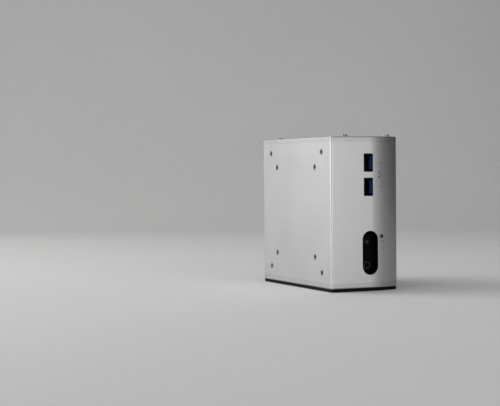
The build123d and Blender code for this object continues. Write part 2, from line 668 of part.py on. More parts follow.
# ---- Processor and cooler -------------------------------------------------------------------
CPU_PLACE = (4.0, 38.0)   # y, z
PACKAGE_SIZE = 34.0
CARRIER_THICKNESS = 1.45
DIE_SIZE = (14.0, 12.0)
DIE_THICKNESS = 0.9
COLD_PLATE_X = (BOARD_TOP_X + 2.5, 38.3)
COLD_PLATE_SIZE = 44.0
PIPE_THICKNESS = 3.4
PIPE_WIDTH = 6.0
FAN_PLACE = (-2.0, 86.0)
FAN_FLOOR_X = 42.0
FAN_DEPTH = 11.0
FIN_Y = (28.6, 60.0)
FIN_Z = (61.0, 111.0)

with BuildPart() as processor:
    with BuildSketch(side_plane(PORT_FOOT_X)):
        with Locations(CPU_PLACE):
            Rectangle(PACKAGE_SIZE, PACKAGE_SIZE)
    extrude(amount=CARRIER_THICKNESS)
    with BuildSketch(side_plane(PORT_FOOT_X + CARRIER_THICKNESS)):
        with Locations(CPU_PLACE):
            Rectangle(*DIE_SIZE)
    extrude(amount=DIE_THICKNESS)
save(processor, "processor")

plate_corners = [(CPU_PLACE[0] + a * 19, CPU_PLACE[1] + b * 19) for a in (-1, 1) for b in (-1, 1)]
with BuildPart() as cold_plate:
    block(COLD_PLATE_X, (CPU_PLACE[0] - COLD_PLATE_SIZE / 2, CPU_PLACE[0] + COLD_PLATE_SIZE / 2),
          (CPU_PLACE[1] - COLD_PLATE_SIZE / 2, CPU_PLACE[1] + COLD_PLATE_SIZE / 2))
    fillet(cold_plate.edges().filter_by(Axis.X), 3)
    with BuildSketch(side_plane(COLD_PLATE_X[0])):
        with Locations(*plate_corners):
            Circle(1.3)
    extrude(amount=COLD_PLATE_X[1] - COLD_PLATE_X[0], mode=Mode.SUBTRACT)
save(cold_plate, "cold_plate")

with BuildPart() as cooler_screws:
    with BuildSketch(side_plane(COLD_PLATE_X[1] + 0.1)):
        with Locations(*plate_corners):
            Circle(2.0)
    extrude(amount=1.5)
    with BuildSketch(side_plane(COLD_PLATE_X[1] + 0.1)):
        with Locations(*plate_corners):
            Circle(1.1)
    extrude(amount=-(COLD_PLATE_X[1] + 0.1 - BOARD_TOP_X - 0.1))
save(cooler_screws, "cooler_screws")


def heat_pipe(level_z, column_y, bend_radius):
    """A flattened pipe from over the processor, round one bend, up along the fins."""
    start = (CPU_PLACE[0] - 18, level_z)
    with BuildPart() as pipe:
        with BuildSketch(side_plane(COLD_PLATE_X[1] + 0.05)) as strip:
            with BuildLine() as route:
                FilletPolyline(start, (column_y, level_z), (column_y, FIN_Z[1] - 2), radius=bend_radius)
            trace(route.line, PIPE_WIDTH)
        extrude(strip.sketch, amount=PIPE_THICKNESS)
        fillet(pipe.edges().filter_by(GeomType.LINE).filter_by(Axis.X), 2.0)
    return pipe


heat_pipes = {
    "inner": heat_pipe(CPU_PLACE[1] + 5, 33.0, 8.0),
    "outer": heat_pipe(CPU_PLACE[1] - 5, 41.0, 14.0),
}
for place, pipe in heat_pipes.items():
    save(pipe, f"heat_pipe_{place}")

FIN_PITCH = 2.0
FIN_THICKNESS = 0.4
FIN_BASE = 1.0
with BuildPart() as fin_stack:
    block((FAN_FLOOR_X, FAN_FLOOR_X + FIN_BASE), FIN_Y, FIN_Z)
    for index in range(int((FIN_Z[1] - FIN_Z[0]) / FIN_PITCH)):
        fin_z = FIN_Z[0] + index * FIN_PITCH
        block((FAN_FLOOR_X, FAN_FLOOR_X + FAN_DEPTH - 0.5), FIN_Y, (fin_z, fin_z + FIN_THICKNESS))
save(fin_stack, "fin_stack")

# ---- Blower -----------------------------------------------------------------------------------
FAN_CAVITY_RADIUS = 25.0
FAN_HALF = 27.0
ROTOR_RADIUS = 22.5
HUB_RADIUS = 10.5
HUB_WALL = 1.2
BLADE_COUNT = 27
STATOR_RADIUS = 8.2
SHAFT_RADIUS = 1.0
BEARING_BORE = 1.04
INLET_RADIUS = 15.5
FAN_WALL_HIGH = FAN_FLOOR_X + FAN_DEPTH - 1.0
fan_y, fan_z = FAN_PLACE
fan_bounds_y = (fan_y - FAN_HALF, fan_y + FAN_HALF)
fan_bounds_z = (fan_z - FAN_HALF, fan_z + FAN_HALF)
fan_corners = [(fan_y + a * (FAN_HALF - 3), fan_z + b * (FAN_HALF - 3)) for a in (-1, 1) for b in (-1, 1)]

with BuildPart() as fan_housing:
    block((FAN_FLOOR_X, FAN_WALL_HIGH), fan_bounds_y, fan_bounds_z)
    with BuildSketch(side_plane(FAN_FLOOR_X + 1)):
        with Locations(FAN_PLACE):
            Circle(FAN_CAVITY_RADIUS)
        with Locations((fan_y + FAN_HALF / 2, fan_z)):
            Rectangle(FAN_HALF + 1, 2 * FAN_HALF - 9)
    extrude(amount=FAN_DEPTH, mode=Mode.SUBTRACT)
    with BuildSketch(side_plane(FAN_FLOOR_X)):
        with Locations(*fan_corners[:2]):
            Circle(2.2)
    extrude(amount=-(FAN_FLOOR_X - BOARD_TOP_X - 0.05))
save(fan_housing, "fan_housing")

with BuildPart() as fan_cover:
    block((FAN_WALL_HIGH + 0.02, FAN_WALL_HIGH + 0.6), fan_bounds_y, fan_bounds_z)
    with BuildSketch(side_plane(FAN_WALL_HIGH)):
        with Locations(FAN_PLACE):
            Circle(INLET_RADIUS)
    extrude(amount=1, mode=Mode.SUBTRACT)
save(fan_cover, "fan_cover")

with BuildPart() as fan_stator:
    with BuildSketch(side_plane(FAN_FLOOR_X + 1.02)):
        with Locations(FAN_PLACE):
            Circle(STATOR_RADIUS)
    extrude(amount=5.5)
    with BuildSketch(side_plane(FAN_FLOOR_X + 1.4)):
        with Locations(FAN_PLACE):
            Circle(BEARING_BORE)
    extrude(amount=6, mode=Mode.SUBTRACT)
save(fan_stator, "fan_stator")

ROTOR_X = (FAN_FLOOR_X + 1.6, FAN_WALL_HIGH - 0.6)
with BuildPart() as fan_rotor:
    with BuildSketch(side_plane(ROTOR_X[0])):
        with Locations(FAN_PLACE):
            Circle(HUB_RADIUS)
    extrude(amount=ROTOR_X[1] - ROTOR_X[0])
    with BuildSketch(side_plane(ROTOR_X[0])):
        with Locations(FAN_PLACE):
            Circle(HUB_RADIUS - HUB_WALL)
    extrude(amount=ROTOR_X[1] - ROTOR_X[0] - HUB_WALL, mode=Mode.SUBTRACT)
    with BuildSketch(side_plane(FAN_FLOOR_X + 1.9)):
        with Locations(FAN_PLACE):
            Circle(SHAFT_RADIUS)
    extrude(amount=ROTOR_X[1] - FAN_FLOOR_X - 2.2)
    with BuildSketch(side_plane(ROTOR_X[0] + 1.0)):
        with Locations(FAN_PLACE):
            with PolarLocations((HUB_RADIUS + ROTOR_RADIUS) / 2, BLADE_COUNT):
                Rectangle(ROTOR_RADIUS - HUB_RADIUS + 0.6, 0.7, rotation=28)
    extrude(amount=ROTOR_X[1] - ROTOR_X[0] - 1.6)
    with BuildSketch(side_plane(ROTOR_X[0] + 1.0)):
        with Locations(FAN_PLACE):
            Circle(HUB_RADIUS + 3)
            Circle(HUB_RADIUS - 0.3, mode=Mode.SUBTRACT)
    extrude(amount=0.8)
save(fan_rotor, "fan_rotor")

# ---- Memory, storage card and radio card under the board ------------------------------------------
UNDER_X = BOARD_BOTTOM_X - 0.05
MODULE_THICKNESS = 1.2
CHIP_HEIGHT = 1.1


def card(x, y, z, chips, chip_size, thickness=MODULE_THICKNESS, chip_side=-1):
    """A circuit card with a row of chips on one side, chips spaced evenly along Z."""
    with BuildPart() as module:
        block((x, x + thickness), y, z)
        pitch = (z[1] - z[0]) / chips
        chip_x = (x - CHIP_HEIGHT, x) if chip_side < 0 else (x + thickness, x + thickness + CHIP_HEIGHT)
        for index in range(chips):
            chip_z = z[0] + pitch * (index + 0.5)
            chip_y = (y[0] + y[1]) / 2
            block(chip_x, (chip_y - chip_size[0] / 2, chip_y + chip_size[0] / 2),
                  (chip_z - chip_size[1] / 2, chip_z + chip_size[1] / 2))
    return module


MEMORY_Z = (29.0, 96.6)
MEMORY_Y = (12.0, 42.0)
memory_levels = {"near_board": BOARD_BOTTOM_X - 3.4, "far_from_board": BOARD_BOTTOM_X - 7.2}
for place, x in memory_levels.items():
    save(card(x, MEMORY_Y, MEMORY_Z, 4, (12.0, 9.0)), f"memory_module_{place}")

with BuildPart() as memory_socket:
    block((BOARD_BOTTOM_X - 8.6, UNDER_X), (MEMORY_Y[0] - 5.0, MEMORY_Y[0] + 2.5),
          (MEMORY_Z[0] - 1.5, MEMORY_Z[1] + 1.5))
    for x in memory_levels.values():
        block((x - 0.1, x + MODULE_THICKNESS + 0.1), (MEMORY_Y[0] - 0.1, MEMORY_Y[0] + 3.5),
              (MEMORY_Z[0] - 0.1, MEMORY_Z[1] + 0.1), mode=Mode.SUBTRACT)
save(memory_socket, "memory_socket")

STORAGE_Y = (-20.0, 2.0)
STORAGE_Z = (24.0, 104.0)
STORAGE_X = BOARD_BOTTOM_X - 3.0
storage_card = card(STORAGE_X, STORAGE_Y, STORAGE_Z, 3, (14.0, 18.0), thickness=0.8)
save(storage_card, "storage_card")

RADIO_Y = (-50.0, -28.0)
RADIO_Z = (44.0, 74.0)
radio_card = card(STORAGE_X, RADIO_Y, RADIO_Z, 1, (16.0, 18.0), thickness=0.8)
save(radio_card, "radio_card")


def card_socket(y, low_z):
    """Edge socket of a card, under the board, gripping the card's lower end."""
    with BuildPart() as socket:
        block((STORAGE_X - 1.2, UNDER_X), (y[0] - 0.5, y[1] + 0.5), (low_z - 4.5, low_z + 1.5))
        block((STORAGE_X - 0.1, STORAGE_X + 0.9), (y[0] - 0.1, y[1] + 0.1), (low_z - 0.1, low_z + 2),
              mode=Mode.SUBTRACT)
    return socket


with BuildPart() as card_sockets:
    add(card_socket(STORAGE_Y, STORAGE_Z[0]).part)
    add(card_socket(RADIO_Y, RADIO_Z[0]).part)
save(card_sockets, "card_sockets")

# ---- Small parts on the board's far side ---------------------------------------------------------
CELL_PLACE = (-42.0, 66.0)
CELL_RADIUS = 10.0
CELL_THICKNESS = 3.2
HOLDER_FLOOR = 0.9
with BuildPart() as coin_cell_holder:
    with BuildSketch(side_plane(PORT_FOOT_X)):
        with Locations(CELL_PLACE):
            Circle(CELL_RADIUS + 1.6)
    extrude(amount=HOLDER_FLOOR + 2.5)
    with BuildSketch(side_plane(PORT_FOOT_X + HOLDER_FLOOR)):
        with Locations(CELL_PLACE):
            Circle(CELL_RADIUS + 0.2)
    extrude(amount=CELL_THICKNESS, mode=Mode.SUBTRACT)
save(coin_cell_holder, "coin_cell_holder")

with BuildPart() as coin_cell:
    with BuildSketch(side_plane(PORT_FOOT_X + HOLDER_FLOOR + 0.1)):
        with Locations(CELL_PLACE):
            Circle(CELL_RADIUS)
    extrude(amount=CELL_THICKNESS)
    fillet(coin_cell.faces().sort_by(Axis.X)[-1].edges(), 0.5)
save(coin_cell, "coin_cell")

INDUCTOR_SIZE = 7.0
INDUCTOR_PITCH = 9.0
INDUCTOR_PLACE = (-26.0, 35.0)
INDUCTOR_HEIGHT = 4.0
with BuildPart() as power_inductors:
    with BuildSketch(side_plane(PORT_FOOT_X)):
        with Locations(INDUCTOR_PLACE):
            with GridLocations(1, INDUCTOR_PITCH, 1, 4):
                RectangleRounded(INDUCTOR_SIZE, INDUCTOR_SIZE, 1)
    extrude(amount=INDUCTOR_HEIGHT)
save(power_inductors, "power_inductors")

CAPACITOR_RADIUS = 2.5
CAPACITOR_PITCH = 8.0
CAPACITOR_PLACE = (-34.0, 35.0)
CAPACITOR_HEIGHT = 6.0
with BuildPart() as capacitors:
    with BuildSketch(side_plane(PORT_FOOT_X)):
        with Locations(CAPACITOR_PLACE):
            with GridLocations(1, CAPACITOR_PITCH, 1, 4):
                Circle(CAPACITOR_RADIUS)
    extrude(amount=CAPACITOR_HEIGHT)
save(capacitors, "capacitors")

ANTENNA_Y = REAR_PLATE_FACE - REAR_PLATE_THICKNESS - 0.3
ANTENNA_X = (47.2, 52.5)
ANTENNA_THICKNESS = 0.8
ANTENNA_LENGTH = 18.0
with BuildPart() as antennas:
    for antenna_z in (30.0, 52.0):
        block(ANTENNA_X, (ANTENNA_Y - ANTENNA_THICKNESS, ANTENNA_Y),
              (antenna_z - ANTENNA_LENGTH / 2, antenna_z + ANTENNA_LENGTH / 2))
save(antennas, "antennas")

# ---- Leads inside the casing ---------------------------------------------------------------------


def lead(stops, radius, bend):
    """A round lead with rounded bends through stops of (x from the wall-mount side, y, z)."""
    points = [Vector(from_left(x), y, z) for x, y, z in stops]
    with BuildPart() as wire:
        with BuildLine() as route:
            FilletPolyline(*points, radius=bend)
        with BuildSketch(Plane(origin=points[0], z_dir=points[1] - points[0])) as section:
            Circle(radius)
        sweep(section.sketch, path=route.line)
    return wire


ANTENNA_LEAD_RADIUS = 0.55
LEAD_BEND = 3.0
LEAD_DOWN_Y = ANTENNA_Y - ANTENNA_THICKNESS - 1.35
lead_start_x = STORAGE_X - ANTENNA_LEAD_RADIUS - 0.1
# Each antenna's lead: its y at the radio card, its x and z along the top, and where it ends.
ANTENNA_LEADS = (
    (LEAD_HOLE[0] - 1.5, 50.6, 116.5, 61.6),
    (LEAD_HOLE[0] + 1.5, 52.0, 115.0, 39.6),
)
with BuildPart() as antenna_leads:
    for side_y, run_x, run_z, end_z in ANTENNA_LEADS:
        stops = [
            (lead_start_x, side_y, RADIO_Z[1] - 2.5),
            (lead_start_x, side_y, LEAD_HOLE[1]),
            (run_x, side_y, LEAD_HOLE[1]),
            (run_x, side_y, run_z),
            (run_x, LEAD_DOWN_Y, run_z),
            (run_x, LEAD_DOWN_Y, end_z),
        ]
        add(lead(stops, ANTENNA_LEAD_RADIUS, LEAD_BEND).part)
save(antenna_leads, "antenna_leads")

FAN_LEAD_RADIUS = 0.9
FAN_PLUG_PLACE = (-25.5, 56.0)
fan_lead_x = FAN_FLOOR_X + 2.5
with BuildPart() as fan_lead:
    add(lead([
        (fan_lead_x, fan_bounds_y[0] - 0.1, FAN_PLUG_PLACE[1] + 8),
        (fan_lead_x, fan_bounds_y[0] - 2.4, FAN_PLUG_PLACE[1] + 8),
        (fan_lead_x, fan_bounds_y[0] - 2.4, FAN_PLUG_PLACE[1]),
        (fan_lead_x - 5, fan_bounds_y[0] - 2.4, FAN_PLUG_PLACE[1]),
        (fan_lead_x - 5, FAN_PLUG_PLACE[0], FAN_PLUG_PLACE[1]),
        (PORT_FOOT_X + 2, FAN_PLUG_PLACE[0], FAN_PLUG_PLACE[1]),
    ], FAN_LEAD_RADIUS, 1.1).part)
    block((PORT_FOOT_X, PORT_FOOT_X + 3.5), (FAN_PLUG_PLACE[0] - 3, FAN_PLUG_PLACE[0] + 3),
          (FAN_PLUG_PLACE[1] - 1.6, FAN_PLUG_PLACE[1] + 1.6))
save(fan_lead, "fan_lead")

# The drive's plug, a flat ribbon up to the board, and the ribbon's plug under the board.
PLUG_Y = (DRIVE_MID[0] + DRIVE_SIZE[1] / 2 + 0.1, DRIVE_MID[0] + DRIVE_SIZE[1] / 2 + 5.0)
RIBBON_THICKNESS = 0.4
RIBBON_HALF = 13.0
ribbon_y = sum(PLUG_Y) / 2
with BuildPart() as drive_ribbon:
    block((drive_x + 1.2, drive_x + 5.6), PLUG_Y, (DRIVE_MID[1] - PLUG_HALF, DRIVE_MID[1] + PLUG_HALF))
    block((drive_x + 5.6, UNDER_X), (ribbon_y - RIBBON_THICKNESS / 2, ribbon_y + RIBBON_THICKNESS / 2),
          (DRIVE_MID[1] - RIBBON_HALF, DRIVE_MID[1] + RIBBON_HALF))
    block((UNDER_X - 3, UNDER_X), (ribbon_y - 1.8, ribbon_y + 1.8),
          (DRIVE_MID[1] - RIBBON_HALF - 1.5, DRIVE_MID[1] + RIBBON_HALF + 1.5))
save(drive_ribbon, "drive_ribbon")
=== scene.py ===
import json
import math
import random

import bmesh
import bpy
from mathutils import Matrix, Vector


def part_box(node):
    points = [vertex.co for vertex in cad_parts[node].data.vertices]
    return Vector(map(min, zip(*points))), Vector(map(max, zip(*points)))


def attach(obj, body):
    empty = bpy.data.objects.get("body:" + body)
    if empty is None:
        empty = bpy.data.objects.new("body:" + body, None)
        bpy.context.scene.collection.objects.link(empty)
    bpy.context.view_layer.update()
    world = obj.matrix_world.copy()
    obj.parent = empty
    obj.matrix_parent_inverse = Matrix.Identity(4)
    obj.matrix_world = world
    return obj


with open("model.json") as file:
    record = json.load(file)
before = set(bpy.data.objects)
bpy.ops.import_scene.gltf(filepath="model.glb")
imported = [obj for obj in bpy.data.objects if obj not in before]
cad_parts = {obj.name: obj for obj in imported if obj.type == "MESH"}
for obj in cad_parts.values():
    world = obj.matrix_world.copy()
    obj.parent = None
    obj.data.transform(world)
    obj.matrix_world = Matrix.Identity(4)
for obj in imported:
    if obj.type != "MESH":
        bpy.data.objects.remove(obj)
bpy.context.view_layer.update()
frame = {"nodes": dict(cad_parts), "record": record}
nodes = frame["nodes"]
MM = 0.001


def mm(*lengths):
    """Lengths in millimetres, turned to metres."""
    return [length * MM for length in lengths]


# ---- Shader building blocks ----
WAVE_RADIANS = 20  # how far Blender's wave bands turn in one unit at scale 1


class Shader:
    """A Principled material whose inputs come from procedural textures in object space."""

    def __init__(self, name):
        self.material = bpy.data.materials.new(name)
        self.material.use_nodes = True
        self.tree = self.material.node_tree
        self.bsdf = self.tree.nodes["Principled BSDF"]
        self.coordinates = self.node("ShaderNodeTexCoord").outputs["Object"]

    def node(self, kind, inputs=None, **settings):
        """Makes a node with these settings, and feeds its inputs."""
        made = self.tree.nodes.new(kind)
        for key, value in settings.items():
            setattr(made, key, value)
        for socket, value in (inputs or {}).items():
            self.feed(made.inputs[socket], value)
        return made

    def feed(self, socket, value):
        """Links a texture to a socket, or sets the socket to a number or a colour."""
        if isinstance(value, bpy.types.NodeSocket):
            self.tree.links.new(value, socket)
        elif isinstance(value, (int, float)):
            socket.default_value = value
        else:
            socket.default_value = (*value, 1.0)

    def set(self, name, value):
        self.feed(self.bsdf.inputs[name], value)

    def stretched(self, stretch):
        """Object coordinates scaled by a vector, for grain that runs one way."""
        mapping = self.node("ShaderNodeMapping", {"Vector": self.coordinates})
        mapping.inputs["Scale"].default_value = stretch
        return mapping.outputs["Vector"]

    def axis(self, letter):
        """One object coordinate, in metres."""
        return self.node("ShaderNodeSeparateXYZ", {0: self.coordinates}).outputs[letter]

    def across(self, first, second):
        """Object coordinates laid flat: two of the three axes become the texture's own X and Y."""
        inputs = {0: self.axis(first), 1: self.axis(second)}
        return self.node("ShaderNodeCombineXYZ", inputs).outputs[0]

    def noise(self, scale, detail=3.0, coordinates=None, roughness=0.55):
        inputs = {"Scale": scale, "Detail": detail, "Roughness": roughness,
                  "Vector": coordinates or self.coordinates}
        return self.node("ShaderNodeTexNoise", inputs).outputs["Fac"]

    def cells(self, scale, coordinates=None, output="Distance"):
        inputs = {"Scale": scale, "Vector": coordinates or self.coordinates}
        return self.node("ShaderNodeTexVoronoi", inputs).outputs[output]

    def channels(self, colour):
        """The red, green and blue of a colour, each by itself."""
        return self.node("ShaderNodeSeparateColor", {0: colour}).outputs

    def lines(self, pitch, coordinates, direction):
        """Even lines at this pitch in metres, 0 between them and 1 on them."""
        inputs = {"Scale": 2 * math.pi / (WAVE_RADIANS * pitch), "Vector": coordinates}
        settings = {"wave_type": "BANDS", "bands_direction": direction}
        return self.node("ShaderNodeTexWave", inputs, **settings).outputs["Fac"]

    def spread(self, value, low=0.0, high=1.0, from_low=0.3, from_high=0.7):
        """Maps a texture's value to the range low to high."""
        inputs = {"Value": value, "From Min": from_low, "From Max": from_high,
                  "To Min": low, "To Max": high}
        return self.node("ShaderNodeMapRange", inputs).outputs["Result"]

    def combine(self, operation, a, b):
        return self.node("ShaderNodeMath", {0: a, 1: b}, operation=operation).outputs["Value"]

    def times(self, a, b):
        return self.combine("MULTIPLY", a, b)

    def mix(self, factor, a, b):
        """Mixes two colours, each a socket or three numbers."""
        return self.node("ShaderNodeMix", {0: factor, 6: a, 7: b}, data_type="RGBA").outputs[2]

    def toned(self, texture, colour, dark, light):
        """A colour that wanders between a darker and a lighter shade of itself."""
        return self.mix(self.spread(texture), shade(colour, dark), shade(colour, light))

    def edges(self, radius):
        """1 within so many millimetres of a sharp edge and 0 on flats, by how a bevelled normal turns."""
        bevel = self.node("ShaderNodeBevel", {"Radius": radius * MM}, samples=4).outputs["Normal"]
        plain = self.node("ShaderNodeNewGeometry").outputs["Normal"]
        dot = self.node("ShaderNodeVectorMath", {0: bevel, 1: plain}, operation="DOT_PRODUCT")
        return self.spread(dot.outputs["Value"], 1.0, 0.0, 0.80, 0.99)

    def bump(self, *layers):
        """Stacks bump layers of (height socket, depth in millimetres), coarsest first."""
        normal = None
        for height, depth in layers:
            inputs = {"Strength": 1.0, "Distance": depth * MM, "Height": height}
            if normal is not None:
                inputs["Normal"] = normal
            normal = self.node("ShaderNodeBump", inputs).outputs["Normal"]
        self.set("Normal", normal)

    def done(self, base, roughness, *layers, metallic=0.0):
        """Sets the main inputs and the bump layers, and returns the material."""
        self.set("Base Color", base)
        self.set("Metallic", metallic)
        self.set("Roughness", roughness)
        self.bump(*layers)
        return self.material


def shade(colour, factor):
    """A colour made darker or lighter by a factor."""
    return tuple(min(1.0, channel * factor) for channel in colour)


# ---- Material families ----
def anodised(name, colour, roughness):
    """Bead-blasted, anodised extrusion: fine sparkle, faint drawing lines along Z, soft smudges."""
    look = Shader(name)
    cloudy = look.noise(24, 4)
    blast = look.noise(6500, 2)
    pits = look.noise(1900, 3)
    drawn = look.noise(900, 2, look.stretched((1, 1, 0.02)))
    base = look.toned(cloudy, colour, 0.965, 1.03)
    base = look.mix(look.spread(drawn, 0, 0.5), base, shade(colour, 0.95))
    base = look.mix(look.spread(blast, 0, 0.35), base, shade(colour, 0.86))
    rubbed = look.times(look.edges(0.25), look.spread(pits, 0.1, 0.45, 0.4, 0.65))
    base = look.mix(rubbed, base, shade(colour, 1.18))
    smudged = look.spread(cloudy, roughness - 0.016, roughness + 0.016)
    rough = look.combine("ADD", smudged, look.spread(blast, -0.03, 0.03))
    return look.done(base, rough, (drawn, 0.0015), (pits, 0.008), (blast, 0.004), metallic=1)


def moulded(name, colour, roughness, grain=0.02, wear=0.35, gloss=0.5):
    """Moulded plastic: spark-eroded grain, a little dust and greyer rubbed edges."""
    look = Shader(name)
    cloudy = look.noise(70, 4)
    grains = look.noise(3200, 2)
    flow = look.noise(260, 3)
    base = look.toned(cloudy, colour, 0.85, 1.15)
    base = look.mix(look.spread(grains, 0, 0.5), base, shade(colour, 0.7))
    pale = tuple(channel + 0.05 for channel in colour)
    rubbed = look.times(look.edges(0.3), look.spread(flow, 0, wear))
    base = look.mix(rubbed, base, pale)
    rough = look.spread(flow, roughness - 0.07, roughness + 0.07)
    look.set("Specular IOR Level", gloss)
    return look.done(base, rough, (flow, 0.5 * grain), (grains, grain))


def plated(name, colour, roughness, along=(1, 0.04, 1), tarnish=0.12):
    """Plated or rolled sheet: rolling lines one way, cloudy tarnish, brighter sheared edges."""
    look = Shader(name)
    rolled = look.noise(2400, 3, look.stretched(along))
    cloudy = look.noise(140, 5)
    spots = look.noise(1100, 3)
    base = look.toned(cloudy, colour, 1 - tarnish, 1.05)
    base = look.mix(look.spread(rolled, 0, 0.45), base, shade(colour, 0.82))
    base = look.mix(look.spread(spots, 0, 0.6, 0.62, 0.75), base, shade(colour, 0.6))
    base = look.mix(look.edges(0.15), base, shade(colour, 1.2))
    worn = look.spread(cloudy, roughness - 0.05, roughness + 0.08)
    rough = look.combine("ADD", worn, look.spread(rolled, -0.06, 0.06))
    return look.done(base, rough, (rolled, 0.004), (spots, 0.003), metallic=1)


def galvanised(name, colour):
    """Hot-dip zinc: crystal spangle a few millimetres across, under fine rolling lines."""
    look = Shader(name)
    spangle = look.channels(look.cells(230, output="Color"))
    rolled = look.noise(1800, 3, look.stretched((1, 0.05, 1)))
    crystal = look.spread(spangle[0], 0, 1, 0, 1)
    base = look.mix(crystal, shade(colour, 0.82), shade(colour, 1.1))
    base = look.mix(look.spread(rolled, 0, 0.3), base, shade(colour, 0.75))
    base = look.mix(look.edges(0.2), base, shade(colour, 1.3))
    rough = look.spread(spangle[1], 0.32, 0.5, 0, 1)
    return look.done(base, rough, (look.noise(420, 3), 0.01), (rolled, 0.003), metallic=1)


TRACK_PITCH = 0.9 * MM
PAD_GOLD = (0.72, 0.62, 0.38)
CHIP_DARK, CHIP_PALE = (0.016, 0.016, 0.017), (0.03, 0.03, 0.031)


def laminate(name, mask, chip_level=None):
    """Circuit laminate: tracks two ways under the mask, plated holes with painted shade in their bores, and
    chips below chip_level in X.
    """
    look = Shader(name)
    flat = look.across("Y", "Z")
    patch = look.channels(look.cells(95, flat, "Color"))
    upright = look.spread(look.lines(TRACK_PITCH, flat, "X"), 0, 1, 0.60, 0.75)
    level = look.spread(look.lines(TRACK_PITCH, flat, "Y"), 0, 1, 0.60, 0.75)
    choice = look.spread(patch[0], 0, 1, 0.49, 0.51)
    routed = look.spread(patch[1], 0, 1, 0.30, 0.32)
    one = look.times(upright, choice)
    other = look.times(level, look.spread(choice, 1, 0, 0, 1))
    tracks = look.times(look.combine("ADD", one, other), routed)
    dots = look.cells(310, flat)
    rings = look.spread(dots, 1, 0, 0.10, 0.12)
    shaded_bores = look.spread(dots, 1, 0, 0.045, 0.055)
    base = look.toned(look.noise(60, 4), mask, 0.8, 1.2)
    base = look.mix(look.times(tracks, 0.7), base, shade(mask, 2.1))
    base = look.mix(rings, base, PAD_GOLD)
    # The bore centres are painted dark: painted shade inside the holes.
    base = look.mix(shaded_bores, base, shade(mask, 0.3))
    weave = look.noise(1500, 2)
    metal = look.combine("SUBTRACT", rings, shaded_bores)
    gloss = look.spread(weave, 0.24, 0.36)
    if chip_level is not None:
        past = look.combine("LESS_THAN", look.axis("X"), chip_level)
        body = look.mix(look.spread(weave), CHIP_DARK, CHIP_PALE)
        base = look.mix(past, base, body)
        metal = look.times(metal, look.combine("SUBTRACT", 1.0, past))
        gloss = look.combine("ADD", gloss, look.times(past, 0.25))
    return look.done(base, gloss, (tracks, 0.02), (weave, 0.004), metallic=metal)


def copper(name, colour):
    """Drawn copper: lengthwise lines and brown tarnish that spares the handled edges."""
    look = Shader(name)
    drawn = look.noise(1700, 3, look.stretched((1, 0.06, 0.06)))
    tarnish = look.noise(85, 6, roughness=0.7)
    base = look.mix(look.spread(tarnish, 0, 1, 0.4, 0.65), colour, (0.42, 0.19, 0.11))
    base = look.mix(look.spread(drawn, 0, 0.3), base, shade(colour, 0.7))
    base = look.mix(look.edges(0.2), base, shade(colour, 1.15))
    rough = look.spread(tarnish, 0.22, 0.42)
    return look.done(base, rough, (drawn, 0.005), metallic=1)


WIRE_PITCH = 0.35 * MM


def windings(name):
    """Enamelled copper turns on a laminated core: close ridges along X, dark between them with painted
    shade.
    """
    look = Shader(name)
    turns = look.lines(WIRE_PITCH, look.coordinates, "X")
    cloudy = look.noise(500, 3)
    # The dark colour between the ridges is painted shade in the grooves between turns.
    base = look.mix(look.spread(turns, 0, 1, 0.2, 0.8), (0.10, 0.035, 0.015), (0.62, 0.27, 0.12))
    base = look.mix(look.spread(cloudy, 0, 0.5), base, (0.25, 0.10, 0.05))
    metal = look.spread(cloudy, 0.7, 0.95)
    rough = look.spread(cloudy, 0.25, 0.45)
    return look.done(base, rough, (turns, 0.08), metallic=metal)


def pressed_powder(name, colour):
    """Pressed iron powder: coarse speckle and a dry, pitted skin."""
    look = Shader(name)
    specks = look.noise(2600, 4)
    cloudy = look.noise(300, 3)
    base = look.mix(look.spread(specks, 0, 1, 0.4, 0.6), shade(colour, 0.5), shade(colour, 1.6))
    base = look.mix(look.edges(0.3), base, shade(colour, 2.2))
    metal = look.spread(specks, 0, 0.5)
    rough = look.spread(cloudy, 0.5, 0.75)
    return look.done(base, rough, (cloudy, 0.03), (specks, 0.02), metallic=metal)


def clear_smoke(name, tint):
    """Tinted clear moulding: satin, faintly clouded inside, with fine surface ripple."""
    look = Shader(name)
    cloudy = look.noise(400, 3)
    ripple = look.noise(1300, 2)
    base = look.toned(cloudy, tint, 0.6, 1.5)
    rough = look.spread(ripple, 0.18, 0.32)
    look.set("Transmission Weight", look.spread(cloudy, 0.15, 0.3))
    look.set("Specular IOR Level", 0.3)
    return look.done(base, rough, (ripple, 0.004))


def die_and_carrier(name, level_x):
    """A processor: smooth die above level_x in X, green laminate carrier below it."""
    look = Shader(name)
    polish = look.noise(1900, 3, look.stretched((1, 0.1, 1)))
    cloudy = look.noise(120, 4)
    die = look.combine("GREATER_THAN", look.axis("X"), level_x)
    silicon = look.mix(look.spread(cloudy), (0.16, 0.17, 0.20), (0.28, 0.29, 0.33))
    carrier = look.mix(look.spread(polish), (0.012, 0.05, 0.03), (0.02, 0.075, 0.045))
    base = look.mix(die, carrier, silicon)
    metal = look.times(die, 0.9)
    polished = look.times(die, 0.2)
    rough = look.combine("SUBTRACT", look.spread(cloudy, 0.32, 0.42), polished)
    return look.done(base, rough, (polish, 0.002), metallic=metal)


def jacket(name, colour):
    """Extruded lead jacket: dull, slightly wavy, with a little dust."""
    look = Shader(name)
    wavy = look.noise(700, 3)
    dust = look.noise(2500, 4)
    base = look.toned(wavy, colour, 0.8, 1.25)
    dusty = look.spread(dust, 0, 0.25, 0.55, 0.7)
    base = look.mix(dusty, base, (0.16, 0.15, 0.14))
    rough = look.spread(wavy, 0.42, 0.6)
    return look.done(base, rough, (wavy, 0.03), (dust, 0.006))


RIBBON_PITCH = 1.27 * MM


